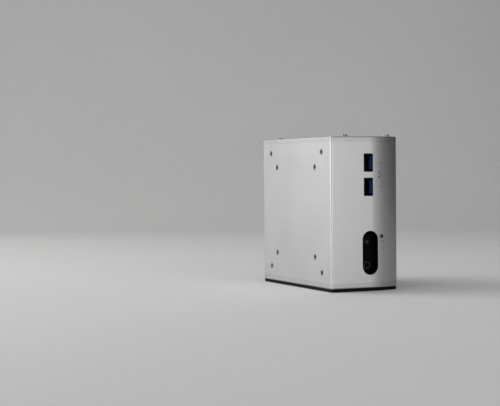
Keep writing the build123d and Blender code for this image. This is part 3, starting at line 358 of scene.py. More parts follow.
def ribbon(name, low_x, high_x):
    """Amber film over copper tracks along X; black plugs below low_x and above high_x."""
    look = Shader(name)
    flat = look.across("Z", "X")
    tracks = look.spread(look.lines(RIBBON_PITCH, flat, "X"), 0, 1, 0.45, 0.6)
    cloudy = look.noise(180, 4)
    film = look.mix(look.spread(cloudy), (0.16, 0.07, 0.012), (0.24, 0.11, 0.02))
    film = look.mix(tracks, film, (0.50, 0.24, 0.09))
    below = look.combine("LESS_THAN", look.axis("X"), low_x)
    above = look.combine("GREATER_THAN", look.axis("X"), high_x)
    plugs = look.combine("ADD", below, above)
    grains = look.noise(3000, 2)
    plastic = look.toned(grains, BLACK, 0.8, 1.6)
    base = look.mix(plugs, film, plastic)
    bare = look.combine("SUBTRACT", 1.0, plugs)
    metal = look.spread(look.times(tracks, bare), 0, 0.4, 0, 1)
    rough = look.spread(cloudy, 0.2, 0.38)
    return look.done(base, rough, (cloudy, 0.05), (tracks, 0.02), metallic=metal)


def ink(name, colour):
    """Pad-printed ink: slightly uneven cover with a dry edge."""
    look = Shader(name)
    cover = look.noise(5200, 3)
    cloudy = look.noise(600, 3)
    base = look.toned(cloudy, colour, 0.9, 1.1)
    base = look.mix(look.spread(cover, 0, 0.4), base, shade(colour, 0.75))
    rough = look.spread(cover, 0.5, 0.65)
    return look.done(base, rough, (cover, 0.002))


def painted_sheet(name, colour):
    """Powder coat: orange-peel skin, satin, with paler worn edges."""
    look = Shader(name)
    peel = look.noise(900, 2)
    fine = look.noise(3600, 2)
    base = look.toned(peel, colour, 0.85, 1.2)
    worn = look.times(look.edges(0.25), look.spread(fine, 0.1, 0.7))
    base = look.mix(worn, base, (0.16, 0.16, 0.165))
    rough = look.spread(peel, 0.38, 0.52)
    return look.done(base, rough, (peel, 0.02), (fine, 0.006))


# ---- One material for each slot of the record ----
BLACK = (0.012, 0.012, 0.013)
SILVER = (0.56, 0.56, 0.565)
STEEL = (0.60, 0.60, 0.61)
GOLD = (0.85, 0.63, 0.28)
MASK_GREEN = (0.010, 0.050, 0.030)

cards = ("memory_module_near_board", "memory_module_far_from_board", "storage_card", "radio_card")
CHIP_HEIGHT, DIE_HEIGHT = mm(1.1, 0.85)
DRIVE_PLUG, BOARD_PLUG = mm(4.4, 3)
ribbon_low, ribbon_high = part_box("drive_ribbon")
# The loaded nodes hold plain materials with these names, so Blender adds a number to each new name.
materials = {material.name.split(".")[0]: material for material in (
    anodised("sleeve_aluminium", SILVER, 0.42),
    anodised("cap_aluminium", shade(SILVER, 0.915), 0.43),
    moulded("base_plastic", shade(BLACK, 0.25), 0.7, 0.03, wear=0.04, gloss=0.12),
    plated("casing_screws", (0.32, 0.32, 0.325), 0.4, (1, 1, 1)),
    plated("black_screws", (0.06, 0.06, 0.065), 0.42, (1, 1, 1)),
    plated("insert_steel", (0.45, 0.45, 0.46), 0.36, (0.05, 1, 1)),
    painted_sheet("rear_plate_paint", (0.020, 0.020, 0.022)),
    plated("socket_steel", shade(STEEL, 0.75), 0.34),
    plated("jack_steel", shade(STEEL, 0.9), 0.38, (1, 1, 0.05)),
    moulded("tongue_blue", (0.001, 0.023, 0.098), 0.5, 0.008, wear=0.02, gloss=0.08),
    moulded("tongue_black", BLACK, 0.45, 0.01, wear=0.1),
    # recess_plastic and button_plastic are darkened below plain black plastic: painted shade in the oval
    # recess.
    moulded("recess_plastic", shade(BLACK, 0.12), 0.6, 0.012, wear=0.01, gloss=0.05),
    moulded("button_plastic", shade(BLACK, 0.3), 0.45, 0.006, wear=0.03, gloss=0.07),
    moulded("connector_plastic", BLACK, 0.5, 0.012, wear=0.2),
    clear_smoke("light_pipe_plastic", (0.010, 0.010, 0.012)),
    moulded("led_plastic", (0.78, 0.77, 0.70), 0.35, 0.004),
    plated("pin_metal", (0.72, 0.70, 0.66), 0.2, (1, 0.05, 1)),
    galvanised("tray_steel", (0.48, 0.48, 0.49)),
    plated("drive_case", (0.34, 0.34, 0.355), 0.4, (1, 0.03, 1)),
    plated("standoff_brass", (0.72, 0.52, 0.22), 0.28, (0.05, 1, 1)),
    laminate("board_laminate", MASK_GREEN),
    laminate("card_laminate", shade(MASK_GREEN, 0.8)),
    laminate("antenna_laminate", (0.035, 0.03, 0.02)),
    die_and_carrier("processor_metal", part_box("processor")[1].x - DIE_HEIGHT),
    copper("copper", (0.80, 0.40, 0.25)),
    plated("fin_aluminium", (0.66, 0.66, 0.67), 0.3, (1, 1, 0.05)),
    moulded("fan_plastic", shade(BLACK, 1.2), 0.55, 0.03),
    moulded("rotor_plastic", shade(BLACK, 1.6), 0.45, 0.01),
    windings("stator_metal"),
    plated("cell_steel", (0.66, 0.66, 0.66), 0.24, (1, 1, 1)),
    pressed_powder("inductor_ferrite", (0.07, 0.07, 0.072)),
    jacket("lead_jacket", shade(BLACK, 1.3)),
    ribbon("ribbon_film", ribbon_low.x + DRIVE_PLUG, ribbon_high.x - BOARD_PLUG),
    plated("capacitor_metal", (0.60, 0.60, 0.62), 0.26, (0.05, 1, 1)),
)}

for part in frame["record"]["subparts"]:
    name = part["node"]
    material = materials[part["material_slot"]]
    if name in cards:
        chip_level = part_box(name)[0].x + CHIP_HEIGHT - 0.02 * MM
        material = laminate(f"{name}_laminate", shade(MASK_GREEN, 0.8), chip_level)
    nodes[name].data.materials.clear()
    nodes[name].data.materials.append(material)

# The front USB shells and their spring leaves are made near-black as painted shade inside the sockets.
shaded_front_shell = plated("front_shell_painted_shade", (0.020, 0.020, 0.022), 0.5)
for place in ("upper", "lower"):
    nodes[f"front_usb_shell_{place}"].data.materials[0] = shaded_front_shell
contact_gold = plated("contact_gold", GOLD, 0.24, (1, 0.05, 1), tarnish=0.05)
# Gold darkened to about a tenth: painted shade on the front USB contacts deep inside their sockets.
shaded_gold = plated("shaded_gold", shade(GOLD, 0.12), 0.45, (1, 0.05, 1), tarnish=0.2)
face_ink = ink("face_ink", (0.09, 0.09, 0.094))
icon_ink = ink("icon_ink", (0.045, 0.045, 0.048))
pale_ink = ink("pale_ink", (0.45, 0.45, 0.46))
glyph_ink = ink("glyph_ink", (0.20, 0.20, 0.205))
chip_black = moulded("chip_black", (0.018, 0.018, 0.019), 0.5, 0.012, wear=0.2)
lamp_green = clear_smoke("lamp_green", (0.03, 0.22, 0.05))
lamp_amber = clear_smoke("lamp_amber", (0.35, 0.16, 0.02))
tin = plated("solder_tin", (0.66, 0.66, 0.67), 0.22)
ceramic_tan = moulded("ceramic_tan", (0.30, 0.20, 0.12), 0.4, 0.006)
nylon_white = moulded("nylon_white", (0.60, 0.59, 0.55), 0.45, 0.01)


# ---- Mesh building blocks ----
def scene_object(name, data):
    """A new object in the scene."""
    made = bpy.data.objects.new(name, data)
    bpy.context.scene.collection.objects.link(made)
    return made


def mesh_object(name, gathered):
    """A new object in the scene, with the mesh that was gathered."""
    mesh = bpy.data.meshes.new(name)
    gathered.to_mesh(mesh)
    gathered.free()
    return scene_object(name, mesh)


class Piece:
    """A detail piece gathered from small solids, in the row frame, in metres."""

    def __init__(self, name, material):
        """The material is one made above, or a slot's name, whose material it takes."""
        self.name = name
        self.slot = material if material in materials else None
        self.material = materials[material] if self.slot else material
        self.mesh = bmesh.new()

    def solid(self, low_ring, high_ring, smooth=False):
        """A closed solid between two rings of points."""
        low = [self.mesh.verts.new(point) for point in low_ring]
        high = [self.mesh.verts.new(point) for point in high_ring]
        count = len(low)
        for i in range(count):
            j = (i + 1) % count
            face = self.mesh.faces.new((low[i], low[j], high[j], high[i]))
            face.smooth = smooth
        self.mesh.faces.new(list(reversed(low)))
        self.mesh.faces.new(high)

    def block(self, low, high):
        """A box between two corners."""
        corners = [(low[0], low[1]), (high[0], low[1]), (high[0], high[1]), (low[0], high[1])]
        self.solid([(x, y, low[2]) for x, y in corners], [(x, y, high[2]) for x, y in corners])

    def block_at(self, centre, size):
        """A box of this size around its centre."""
        half = [length / 2 for length in size]
        self.block([c - h for c, h in zip(centre, half)], [c + h for c, h in zip(centre, half)])

    def strip(self, section, steps):
        """A bent strip: section(t) is its outline at t, from 0 to 1, and each step is one solid."""
        for i in range(steps):
            self.solid(section(i / steps), section((i + 1) / steps))

    def turned(self, profile, start, along, sides=32):
        """A ring or a rod: a closed profile of (distance, radius) points turned about an axis."""
        turn = Vector(along).to_track_quat("Z", "Y").to_matrix()
        rings = []
        for i in range(sides):
            angle = 2 * math.pi * i / sides
            spoke = Vector((math.cos(angle), math.sin(angle), 0))
            rings.append([self.mesh.verts.new(Vector(start) + turn @ (
                spoke * radius + Vector((0, 0, distance)))) for distance, radius in profile])
        for i in range(sides):
            here, there = rings[i], rings[(i + 1) % sides]
            for j in range(len(profile)):
                k = (j + 1) % len(profile)
                face = self.mesh.faces.new((here[j], there[j], there[k], here[k]))
                face.smooth = True

    def ring(self, start, along, outer, inner, length, sides=32):
        """A flat or tall ring with small chamfers on its four rims."""
        rim = 0.12 * min(length, outer - inner)
        profile = [(0, inner + rim), (0, outer - rim), (rim, outer), (length - rim, outer),
                   (length, outer - rim), (length, inner + rim), (length - rim, inner), (rim, inner)]
        self.turned(profile, start, along, sides)

    def disc(self, start, along, radius, length, sides=24):
        """A short rod closed by its two ends."""
        turn = Vector(along).to_track_quat("Z", "Y").to_matrix()
        angles = [2 * math.pi * i / sides for i in range(sides)]
        rings = []
        for distance in (0, length):
            rings.append([Vector(start) + turn @ Vector((
                radius * math.cos(angle), radius * math.sin(angle), distance)) for angle in angles])
        self.solid(rings[0], rings[1], smooth=True)

    def place(self, body="case", slot=None, bevel=0.0):
        """Turns what was gathered into one object that rides on a body."""
        bmesh.ops.recalc_face_normals(self.mesh, faces=self.mesh.faces)
        made = mesh_object(self.name, self.mesh)
        made.data.materials.append(self.material)
        if bevel:
            rounding = made.modifiers.new("rounding", "BEVEL")
            rounding.width = bevel
            rounding.segments = 2
            rounding.limit_method = "ANGLE"
        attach(made, body)
        slot = slot or self.slot


FINE_SIDES = 48


def middle(node):
    """Centre of a CAD node's box."""
    low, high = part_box(node)
    return (low + high) / 2


def upright_section(x, thickness, y, z, half_width):
    """A strip's outline at y: thickness along X, and half_width up and down from z."""
    return [(x, y, z - half_width), (x + thickness, y, z - half_width),
            (x + thickness, y, z + half_width), (x, y, z + half_width)]


# ---- USB sockets: contacts on the tongue and spring leaves on the shell ----
LONG_CONTACTS = mm(-3.5, -1, 1, 3.5)
LONG_START, LONG_END, LONG_HALF_WIDTH = mm(1.6, 1, 0.5)
SHORT_CONTACTS = mm(-4.4, -2.25, 0, 2.25, 4.4)
SHORT_START, SHORT_LENGTH, SHORT_WIDTH = mm(7.5, 2, 0.3)
CONTACT_THICKNESS = 0.08 * MM


def usb_contacts(name, face_x, centre_z, mouth_y, inward, tongue_depth, material=contact_gold):
    """Four long contacts and five short ones on a tongue's near face; inward is +1 or -1 along Y."""
    piece = Piece(name, material)
    ends = (mouth_y + inward * LONG_START, mouth_y + inward * (tongue_depth - LONG_END))
    for offset in LONG_CONTACTS:
        z = centre_z + offset
        piece.block((face_x - CONTACT_THICKNESS, min(ends), z - LONG_HALF_WIDTH),
                    (face_x + CONTACT_THICKNESS / 4, max(ends), z + LONG_HALF_WIDTH))
    short_y = mouth_y + inward * (SHORT_START + SHORT_LENGTH / 2)
    for offset in SHORT_CONTACTS:
        piece.block_at((face_x - CONTACT_THICKNESS, short_y, centre_z + offset),
                       (SHORT_WIDTH, SHORT_LENGTH, SHORT_WIDTH))
    piece.place(slot="pin_metal", bevel=0.02 * MM)


SHELL_WALL = 0.4 * MM
LEAF_START, LEAF_LENGTH, LEAF_HALF_WIDTH = mm(3, 5, 0.9)
LEAF_RISE, LEAF_SHEET = mm(0.55, 0.12)
LEAF_OFFSETS = mm(-3.4, 3.4)


def spring_leaf(piece, wall_x, centre_z, mouth_y, inward, side):
    """A leaf bent out of the shell wall: a shallow arch pointing into the socket."""
    def section(t):
        y = mouth_y + inward * (LEAF_START + LEAF_LENGTH * t)
        x = wall_x + side * LEAF_RISE * math.sin(math.pi * t) ** 2
        return upright_section(x, side * LEAF_SHEET, y, centre_z, LEAF_HALF_WIDTH)

    piece.strip(section, 8)


for place in ("upper", "lower"):
    shell_low, shell_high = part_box(f"front_usb_shell_{place}")
    tongue_low, tongue_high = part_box(f"front_usb_tongue_{place}")
    centre_z = middle(f"front_usb_shell_{place}").z
    usb_contacts(f"front_usb_contacts_{place}", tongue_low.x, centre_z, tongue_low.y, 1,
                 tongue_high.y - tongue_low.y, shaded_gold)
    leaves = Piece(f"front_usb_leaves_{place}", shaded_front_shell)
    for offset in LEAF_OFFSETS:
        spring_leaf(leaves, shell_low.x + SHELL_WALL, centre_z + offset, shell_low.y, 1, 1)
    leaves.place(slot="socket_steel")

rear_shell_low, rear_shell_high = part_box("rear_usb_shell")
rear_tongue_low, rear_tongue_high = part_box("rear_usb_tongues")
rear_usb_z = middle("rear_usb_shell").z
REAR_USB_STEP, REAR_SHELL_WALL = mm(7.9, 0.5)
for index, place in enumerate(("near_board", "far_from_board")):
    usb_contacts(f"rear_usb_contacts_{place}", rear_tongue_low.x + index * REAR_USB_STEP, rear_usb_z,
                 rear_tongue_high.y, -1, rear_tongue_high.y - rear_tongue_low.y)
    leaves = Piece(f"rear_usb_leaves_{place}", "socket_steel")
    for offset in LEAF_OFFSETS:
        wall_x = rear_shell_low.x + REAR_SHELL_WALL + index * REAR_USB_STEP
        spring_leaf(leaves, wall_x, rear_usb_z + offset, rear_shell_high.y, -1, 1)
    leaves.place()

# ---- Printed marks: strokes laid on the casing's outer skin ----
INK_PROUD, INK_SUNK, INK_STEP = mm(0.012, 0.05, 0.8)
RAY_START = 0.2


def skin_y(node, x, z, from_front):
    """Where the node's outer skin lies at this x and z, seen from the front or the rear."""
    start = Vector((x, -RAY_START if from_front else RAY_START, z))
    hit, point, _, _ = nodes[node].ray_cast(start, Vector((0, 1 if from_front else -1, 0)))
    if not hit:
        raise ValueError(f"no skin of {node} at {x}, {z}")
    return point.y


def stroke(piece, node, a, b, width, from_front=True):
    """An inked line from a to b, each (x, z), following the skin."""
    run = Vector(b) - Vector(a)
    sideways = Vector((-run.y, run.x)).normalized() * width / 2
    cap = run.normalized() * width / 2
    first, last = Vector(a) - cap, Vector(b) + cap
    outward = -1 if from_front else 1

    def section(t):
        centre = first.lerp(last, t)
        y = skin_y(node, centre.x, centre.y, from_front)
        corners = ((centre - sideways, INK_PROUD), (centre + sideways, INK_PROUD),
                   (centre + sideways, -INK_SUNK), (centre - sideways, -INK_SUNK))
        return [(point.x, y + outward * lift, point.y) for point, lift in corners]

    piece.strip(section, max(1, round(abs(run.x) / INK_STEP)))


def polyline(piece, node, points, width, closed=False, from_front=True):
    """Inked lines through the points, each (x, z)."""
    for a, b in zip(points, points[1:] + points[:1] if closed else points[1:]):
        stroke(piece, node, a, b, width, from_front)


def arc_points(centre, radii, count, start=0.0, sweep=2 * math.pi):
    """Points along part of an ellipse, or all of it; radii are its half widths along X and Z."""
    angles = [start + sweep * i / count for i in range(count + 1)]
    return [(centre[0] + radii[0] * math.cos(angle), centre[1] + radii[1] * math.sin(angle))
            for angle in angles]


upper, lower = middle("front_usb_shell_upper"), middle("front_usb_shell_lower")
PIPE_RADIUS = 1.65 * MM
pipe_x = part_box("light_pipe")[1].x - PIPE_RADIUS
pipe_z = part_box("light_pipe")[0].z + PIPE_RADIUS
LINE = 0.32 * MM
THIN_LINE = LINE * 0.8
sleeve = "outer_sleeve"
ports_mark = Piece("ports_mark", face_ink)
bracket_x = upper.x + 12 * MM
bracket_end = bracket_x - 3 * MM
polyline(ports_mark, sleeve, [(bracket_end, upper.z), (bracket_x, upper.z), (bracket_x, lower.z),
                              (bracket_end, lower.z)], LINE)
ports_mark.place()

icon = Piece("ports_icon", icon_ink)
ICON_LINE = 0.5 * MM
ICON_HEIGHT = 5 * MM
BRANCH_OUT, BRANCH_UP = mm(0.85, 0.9)
icon_x, icon_z = bracket_x - 2 * MM, (upper.z + lower.z) / 2 + 0.6 * MM
icon_foot = (icon_x, icon_z - ICON_HEIGHT / 2)
stroke(icon, sleeve, icon_foot, (icon_x, icon_z + ICON_HEIGHT / 2), ICON_LINE)
for side, level in ((-1, 0.4 * MM), (1, -0.9 * MM)):
    elbow = (icon_x + side * BRANCH_OUT, icon_z + level + BRANCH_UP)
    tip = (elbow[0], elbow[1] + BRANCH_UP)
    polyline(icon, sleeve, [(icon_x, icon_z + level), elbow, tip], ICON_LINE)
polyline(icon, sleeve, arc_points(icon_foot, mm(0.5, 0.5), 8), ICON_LINE)
icon.place()

drive_mark = Piece("drive_mark", face_ink)
DRUM = mm(1.55, 0.65)
drum_x = pipe_x + 0.8 * MM
drum_high, drum_low = pipe_z - 4.2 * MM, pipe_z - 9.6 * MM
polyline(drive_mark, sleeve, arc_points((drum_x, drum_high), DRUM, 10), THIN_LINE)
for level in ((drum_high + drum_low) / 2, drum_low):
    polyline(drive_mark, sleeve, arc_points((drum_x, level), DRUM, 10, math.pi, math.pi), THIN_LINE)
for side_x in (drum_x - DRUM[0], drum_x + DRUM[0]):
    stroke(drive_mark, sleeve, (side_x, drum_low), (side_x, drum_high), THIN_LINE)
drive_mark.place()

# ---- Power button: fine dark rim and a generic power glyph ----
button_low, button_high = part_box("power_button")
button = (button_low + button_high) / 2
button_face = button_low.y
BUTTON_RADIUS = 3 * MM
RIM_DEPTH, RIM_LENGTH = mm(0.25, 0.5)
rim = Piece("power_button_rim", "black_screws")
rim.ring((button.x, button_face + RIM_DEPTH, button.z), (0, 1, 0), BUTTON_RADIUS + 0.06 * MM,
         BUTTON_RADIUS - 0.45 * MM, RIM_LENGTH, FINE_SIDES)
rim.place("power_button")
glyph = Piece("power_glyph", glyph_ink)
GLYPH_RADIUS, GLYPH_LINE = mm(0.85, 0.26)
gap = math.radians(40)
arc = arc_points((button.x, button.z), (GLYPH_RADIUS, GLYPH_RADIUS), 16, math.pi / 2 + gap,
                 2 * math.pi - 2 * gap)
polyline(glyph, "power_button", arc, GLYPH_LINE)
stroke(glyph, "power_button", (button.x, button.z + 0.15 * MM), (button.x, button.z + 1.1 * MM),
       GLYPH_LINE)
glyph.place("power_button")

# ---- Headset jack: collar and contact springs ----
jack_low, jack_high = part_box("headset_jack")
jack_z = middle("headset_jack").z
jack_x = jack_high.x - 3.6 * MM
JACK_BORE = 1.8 * MM
COLLAR_RADIUS, COLLAR_LENGTH, COLLAR_PROUD = mm(2.35, 0.35, 0.05)
collar = Piece("headset_collar", "recess_plastic")
collar.ring((jack_x, jack_low.y - COLLAR_PROUD, jack_z), (0, 1, 0), COLLAR_RADIUS,
            JACK_BORE + 0.02 * MM, COLLAR_LENGTH, FINE_SIDES)
collar.place()
for index, depth in enumerate(mm(4, 7.5, 11)):
    spring = Piece(f"headset_contact_{index}", contact_gold)
    side = 1 if index % 2 else -1
    spring.block_at((jack_x, jack_low.y + depth, jack_z + side * (JACK_BORE - 0.1 * MM)),
                    mm(1, 1.6, 0.2))
    spring.place(slot="pin_metal", bevel=0.05 * MM)

# ---- Indicator lens ----
lens = Piece("indicator_lens", "light_pipe_plastic")
LENS_RADIUS = PIPE_RADIUS - 0.05 * MM
LENS_RISE, LENS_DEPTH = mm(0.15, 0.3)
LENS_CORE = 0.01 * MM  # a turned piece is a ring, so a hair-thin bore stays on its axis
lens_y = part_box("light_pipe")[0].y
quarter = [math.pi / 2 * i / 5 for i in range(6)]
dome = [(LENS_RISE * math.cos(angle), LENS_RADIUS * math.sin(angle) + LENS_CORE) for angle in quarter]
back_of_lens = [(-LENS_DEPTH, LENS_RADIUS), (-LENS_DEPTH, LENS_CORE)]
lens.turned(dome + back_of_lens, (pipe_x, lens_y, pipe_z), (0, -1, 0))
lens.place()

# ---- Rear sockets ----
net_low, net_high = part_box("ethernet_jack")
net = (net_low + net_high) / 2
NET_PITCH, NET_LENGTH, NET_LIFT = mm(1.02, 10, 2.6)
NET_WIRE, NET_HALF_WIDTH = mm(0.25, 0.18)


def network_contact(piece, z):
    """A contact at height z, which rises as it runs into the socket."""
    def section(t):
        y = net_high.y - 2.5 * MM - NET_LENGTH * t
        x = net_low.x + 1.55 * MM + NET_LIFT * t ** 1.6
        return upright_section(x, NET_WIRE, y, z, NET_HALF_WIDTH)

    piece.strip(section, 6)


contacts = Piece("network_contacts", contact_gold)
for index in range(8):
    network_contact(contacts, net.z + (index - 3.5) * NET_PITCH)
contacts.place(slot="pin_metal")

TAB_HALF_WIDTH, TAB_LENGTH, TAB_BULGE, TAB_SHEET = mm(0.8, 4, 0.14, 0.06)


def ground_tab(piece, side, x):
    """A shallow arch at x that bulges from the socket's side; side is +1 or -1 along Z."""
    low_x, high_x = x - TAB_HALF_WIDTH, x + TAB_HALF_WIDTH

    def section(t):
        y = net_high.y - 2.2 * MM - TAB_LENGTH * t
        out = TAB_BULGE * math.sin(math.pi * t)
        z = net.z + side * ((net_high.z - net_low.z) / 2 + out - 0.02 * MM)
        inner_z = z - side * TAB_SHEET
        return [(low_x, y, z), (high_x, y, z), (high_x, y, inner_z), (low_x, y, inner_z)]

    piece.strip(section, 6)


LAMP = mm(1.9, 0.9, 2.6)
for side, material, name in ((-1, lamp_green, "network_lamp_link"), (1, lamp_amber, "network_lamp_traffic")):
    lamp = Piece(name, material)
    lamp.block_at((net_high.x - 1.6 * MM, net_high.y - 0.35 * MM, net.z + side * 5.6 * MM), LAMP)
    lamp.place(bevel=0.12 * MM)
    for tab_index in range(2):
        tab = Piece(f"network_ground_tab_{side + 1}_{tab_index}", "jack_steel")
        ground_tab(tab, side, net_low.x + (3.4 + 5 * tab_index) * MM)
        tab.place()

PIN_PAIRS, PIN_PROUD, PIN_HALF_WIDTH = 10, 0.05 * MM, 0.2 * MM
for name in ("hdmi", "displayport"):
    low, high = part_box(f"{name}_tongue")
    pins = Piece(f"{name}_contacts", contact_gold)
    for index in range(PIN_PAIRS):
        z = low.z + (high.z - low.z) * (index + 0.5) / PIN_PAIRS
        for face_x in (low.x, high.x):
            pins.block((face_x - PIN_PROUD, low.y + 2 * MM, z - PIN_HALF_WIDTH),
                       (face_x + PIN_PROUD, high.y - 0.8 * MM, z + PIN_HALF_WIDTH))
    pins.place(slot="pin_metal")
    shell_low, shell_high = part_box(f"{name}_shell")
    leaves = Piece(f"{name}_leaves", "socket_steel")
    for offset in (-0.28, 0.28):
        z = (shell_low.z + shell_high.z) / 2 + offset * (shell_high.z - shell_low.z)
        spring_leaf(leaves, shell_low.x + SHELL_WALL, z, shell_high.y, -1, 1)
        spring_leaf(leaves, shell_high.x - SHELL_WALL, z, shell_high.y, -1, -1)
    leaves.place()

inlet_low, inlet_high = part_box("dc_inlet")
inlet = (inlet_low + inlet_high) / 2
INLET_RIM = mm(4, 3.22)
rim = Piece("dc_inlet_rim", "pin_metal")
rim.ring((inlet.x, inlet_high.y - 0.45 * MM, inlet.z), (0, 1, 0), *INLET_RIM, 0.5 * MM, FINE_SIDES)
rim.place()


def inlet_spring(t):
    """Outline of the spring that arches into the barrel inlet's bore."""
    y = inlet_high.y - (1.5 + 6 * t) * MM
    x = inlet.x + (3.15 - 0.7 * math.sin(math.pi * t) ** 2) * MM
    return upright_section(x, -0.15 * MM, y, inlet.z, 0.9 * MM)


barrel_spring = Piece("dc_inlet_spring", "pin_metal")
barrel_spring.strip(inlet_spring, 8)
barrel_spring.place()

# ---- Small printed marks beside the rear sockets: two frames, one with bars along X, one along Z ----
rear_marks = Piece("rear_marks", pale_ink)
rear_plate = "rear_io_plate"
mark_x = rear_shell_high.x + 3.2 * MM
FRAME_HALF_WIDTH, FRAME_HALF_HEIGHT, FRAME_LINE = mm(1.2, 1.6, 0.3)
low_x, high_x = mark_x - FRAME_HALF_WIDTH, mark_x + FRAME_HALF_WIDTH
for z in (rear_usb_z, net.z):
    low_z, high_z = z - FRAME_HALF_HEIGHT, z + FRAME_HALF_HEIGHT
    polyline(rear_marks, rear_plate, [(low_x, low_z), (high_x, low_z), (high_x, high_z), (low_x, high_z)],
             FRAME_LINE, closed=True, from_front=False)
for z in (rear_usb_z - 0.7 * MM, rear_usb_z + 0.7 * MM):
    stroke(rear_marks, rear_plate, (mark_x - 0.5 * MM, z), (mark_x + 0.5 * MM, z), FRAME_LINE, False)
for x in (mark_x - 0.6 * MM, mark_x, mark_x + 0.6 * MM):
    stroke(rear_marks, rear_plate, (x, net.z - 0.8 * MM), (x, net.z + 0.6 * MM), 0.25 * MM, False)
rear_marks.place()

# ---- Threads inside the wall-mount inserts, as ridges one pitch apart ----
THREAD_PITCH, THREAD_START = mm(0.7, 0.45)
THREAD_BORE, THREAD_CREST = mm(2, 1.68)
THREAD_TURNS = 6
root = THREAD_BORE + 0.03 * MM
ridge = [(0, root), (THREAD_PITCH / 2, THREAD_CREST), (THREAD_PITCH, root)]
for pitch in (100, 75):
    low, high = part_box(f"vesa_inserts_{pitch}")
    centre = (low + high) / 2
    half = pitch / 2 * MM
    threads = Piece(f"insert_threads_{pitch}", "insert_steel")
    for y in (-half, half):
        for z in (-half, half):
            for turn in range(THREAD_TURNS):
                start = low.x + THREAD_START + THREAD_PITCH * turn
                threads.turned(ridge, (start, y, centre.z + z), (1, 0, 0))
    threads.place()

# ---- Parts soldered to the main board ----
board_low, board_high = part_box("motherboard")
BOARD_SEED = 7
draw = random.Random(BOARD_SEED)
CLEARANCE, TALLEST, TOUCH = mm(1, 3, 0.04)
BOARD_EDGE, SPOT_MARGIN = mm(3, 0.5)
SPOT_TRIES = 60
occupied = []


def occupy(low_y, high_y, low_z, high_z, margin):
    """Keeps a rectangle of the board, and a margin around it, free of small parts."""
    occupied.append((low_y - margin, high_y + margin, low_z - margin, high_z + margin))


# The antenna leads meet the board only at the hole that they pass through, near their front end.
leads_low, leads_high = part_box("antenna_leads")
LEAD_HOLE_INSET, LEAD_HOLE_DROP, LEAD_HOLE_REACH = mm(2, 17, 4.5)
hole_y, hole_z = leads_low.y + LEAD_HOLE_INSET, leads_high.z - LEAD_HOLE_DROP
occupy(hole_y, hole_y, hole_z, hole_z, LEAD_HOLE_REACH)
# The board's screws stand at the four corners of their own box.
SCREW_HEAD = 5.2 * MM
screws_low, screws_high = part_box("board_screws")
for screw_y in (screws_low.y, screws_high.y - SCREW_HEAD):
    for screw_z in (screws_low.z, screws_high.z - SCREW_HEAD):
        occupy(screw_y, screw_y + SCREW_HEAD, screw_z, screw_z + SCREW_HEAD, CLEARANCE)
around_board = ("outer_sleeve", "top_end_cap", "bottom_end_cap", "base_plate", "antenna_leads",
                "board_screws", "top_cap_screws", "bottom_cap_screws", "rear_plate_screws")
for name in nodes:
    low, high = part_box(name)
    on_far_side = low.x < board_high.x + TALLEST and high.x > board_high.x + TOUCH
    if on_far_side and name not in around_board:
        occupy(low.y, high.y, low.z, high.z, CLEARANCE)


def free_spot(width, height):
    """A random place on the board's far side where nothing stands yet, or None."""
    for _ in range(SPOT_TRIES):
        y = draw.uniform(board_low.y + BOARD_EDGE, board_high.y - BOARD_EDGE)
        z = draw.uniform(board_low.z + BOARD_EDGE, board_high.z - BOARD_EDGE)
        low_y, high_y, low_z, high_z = y - width / 2, y + width / 2, z - height / 2, z + height / 2
        if all(high_y < spot[0] or low_y > spot[1] or high_z < spot[2] or low_z > spot[3]
               for spot in occupied):
            occupy(low_y, high_y, low_z, high_z, SPOT_MARGIN)
            return y, z
    return None


face = board_high.x
PIN_PITCH = 1.25 * MM
WALL_X, WALL_HEIGHT, WALL = face + 1.6 * MM, 3 * MM, 0.6 * MM
headers = Piece("board_headers", nylon_white)
header_pins = Piece("board_header_pins", tin)
for count in (4, 6, 2):
    width = count * PIN_PITCH + 2 * MM
    spot = free_spot(width, 4.4 * MM)
    if spot is None:
        continue
    y, z = spot
    for side in (-1, 1):
        end_y = y + side * (width / 2 - WALL / 2)
        headers.block_at((WALL_X, y, z + side * 1.6 * MM), (WALL_HEIGHT, width, WALL))
        headers.block_at((WALL_X, end_y, z), (WALL_HEIGHT, WALL, 3.8 * MM))
    headers.block_at((face + 0.45 * MM, y, z), (0.7 * MM, width - 0.2 * MM, 3.4 * MM))
    for index in range(count):
        pin_y = y + (index - (count - 1) / 2) * PIN_PITCH
        header_pins.block_at((face + 1.5 * MM, pin_y, z), mm(2.4, 0.4, 0.4))
headers.place(bevel=0.06 * MM)
header_pins.place()

PACKAGES = ((9, 9), (7, 7), (6, 5), (5, 5), (5, 4), (4, 4), (4, 3), (4, 3), (3, 3), (3, 3), (3, 2), (3, 2))
LEG_ROOM, LEG_PITCH, LEG = 1.6 * MM, 0.65 * MM, mm(0.16, 0.8, 0.25)
DOT_INSET, DOT_RADIUS = mm(0.7, 0.25)
packages = Piece("board_packages", chip_black)
package_legs = Piece("board_package_legs", tin)
for size in PACKAGES:
    width, height = size[0] * MM, size[1] * MM
    spot = free_spot(width + LEG_ROOM, height + LEG_ROOM)
    if spot is None:
        continue
    y, z = spot
    packages.block_at((face + 0.55 * MM, y, z), (0.9 * MM, width, height))
    dot = (face + 1 * MM, y - width / 2 + DOT_INSET, z + height / 2 - DOT_INSET)
    packages.disc(dot, (1, 0, 0), DOT_RADIUS, 0.02 * MM, 12)
    legs = int(height / LEG_PITCH)
    for index in range(legs):
        leg_z = z - height / 2 + height * (index + 0.5) / legs
        for side in (-1, 1):
            leg_y = y + side * (width / 2 + 0.3 * MM)
            package_legs.block_at((face + 0.12 * MM, leg_y, leg_z), LEG)
packages.place(bevel=0.08 * MM)
package_legs.place()

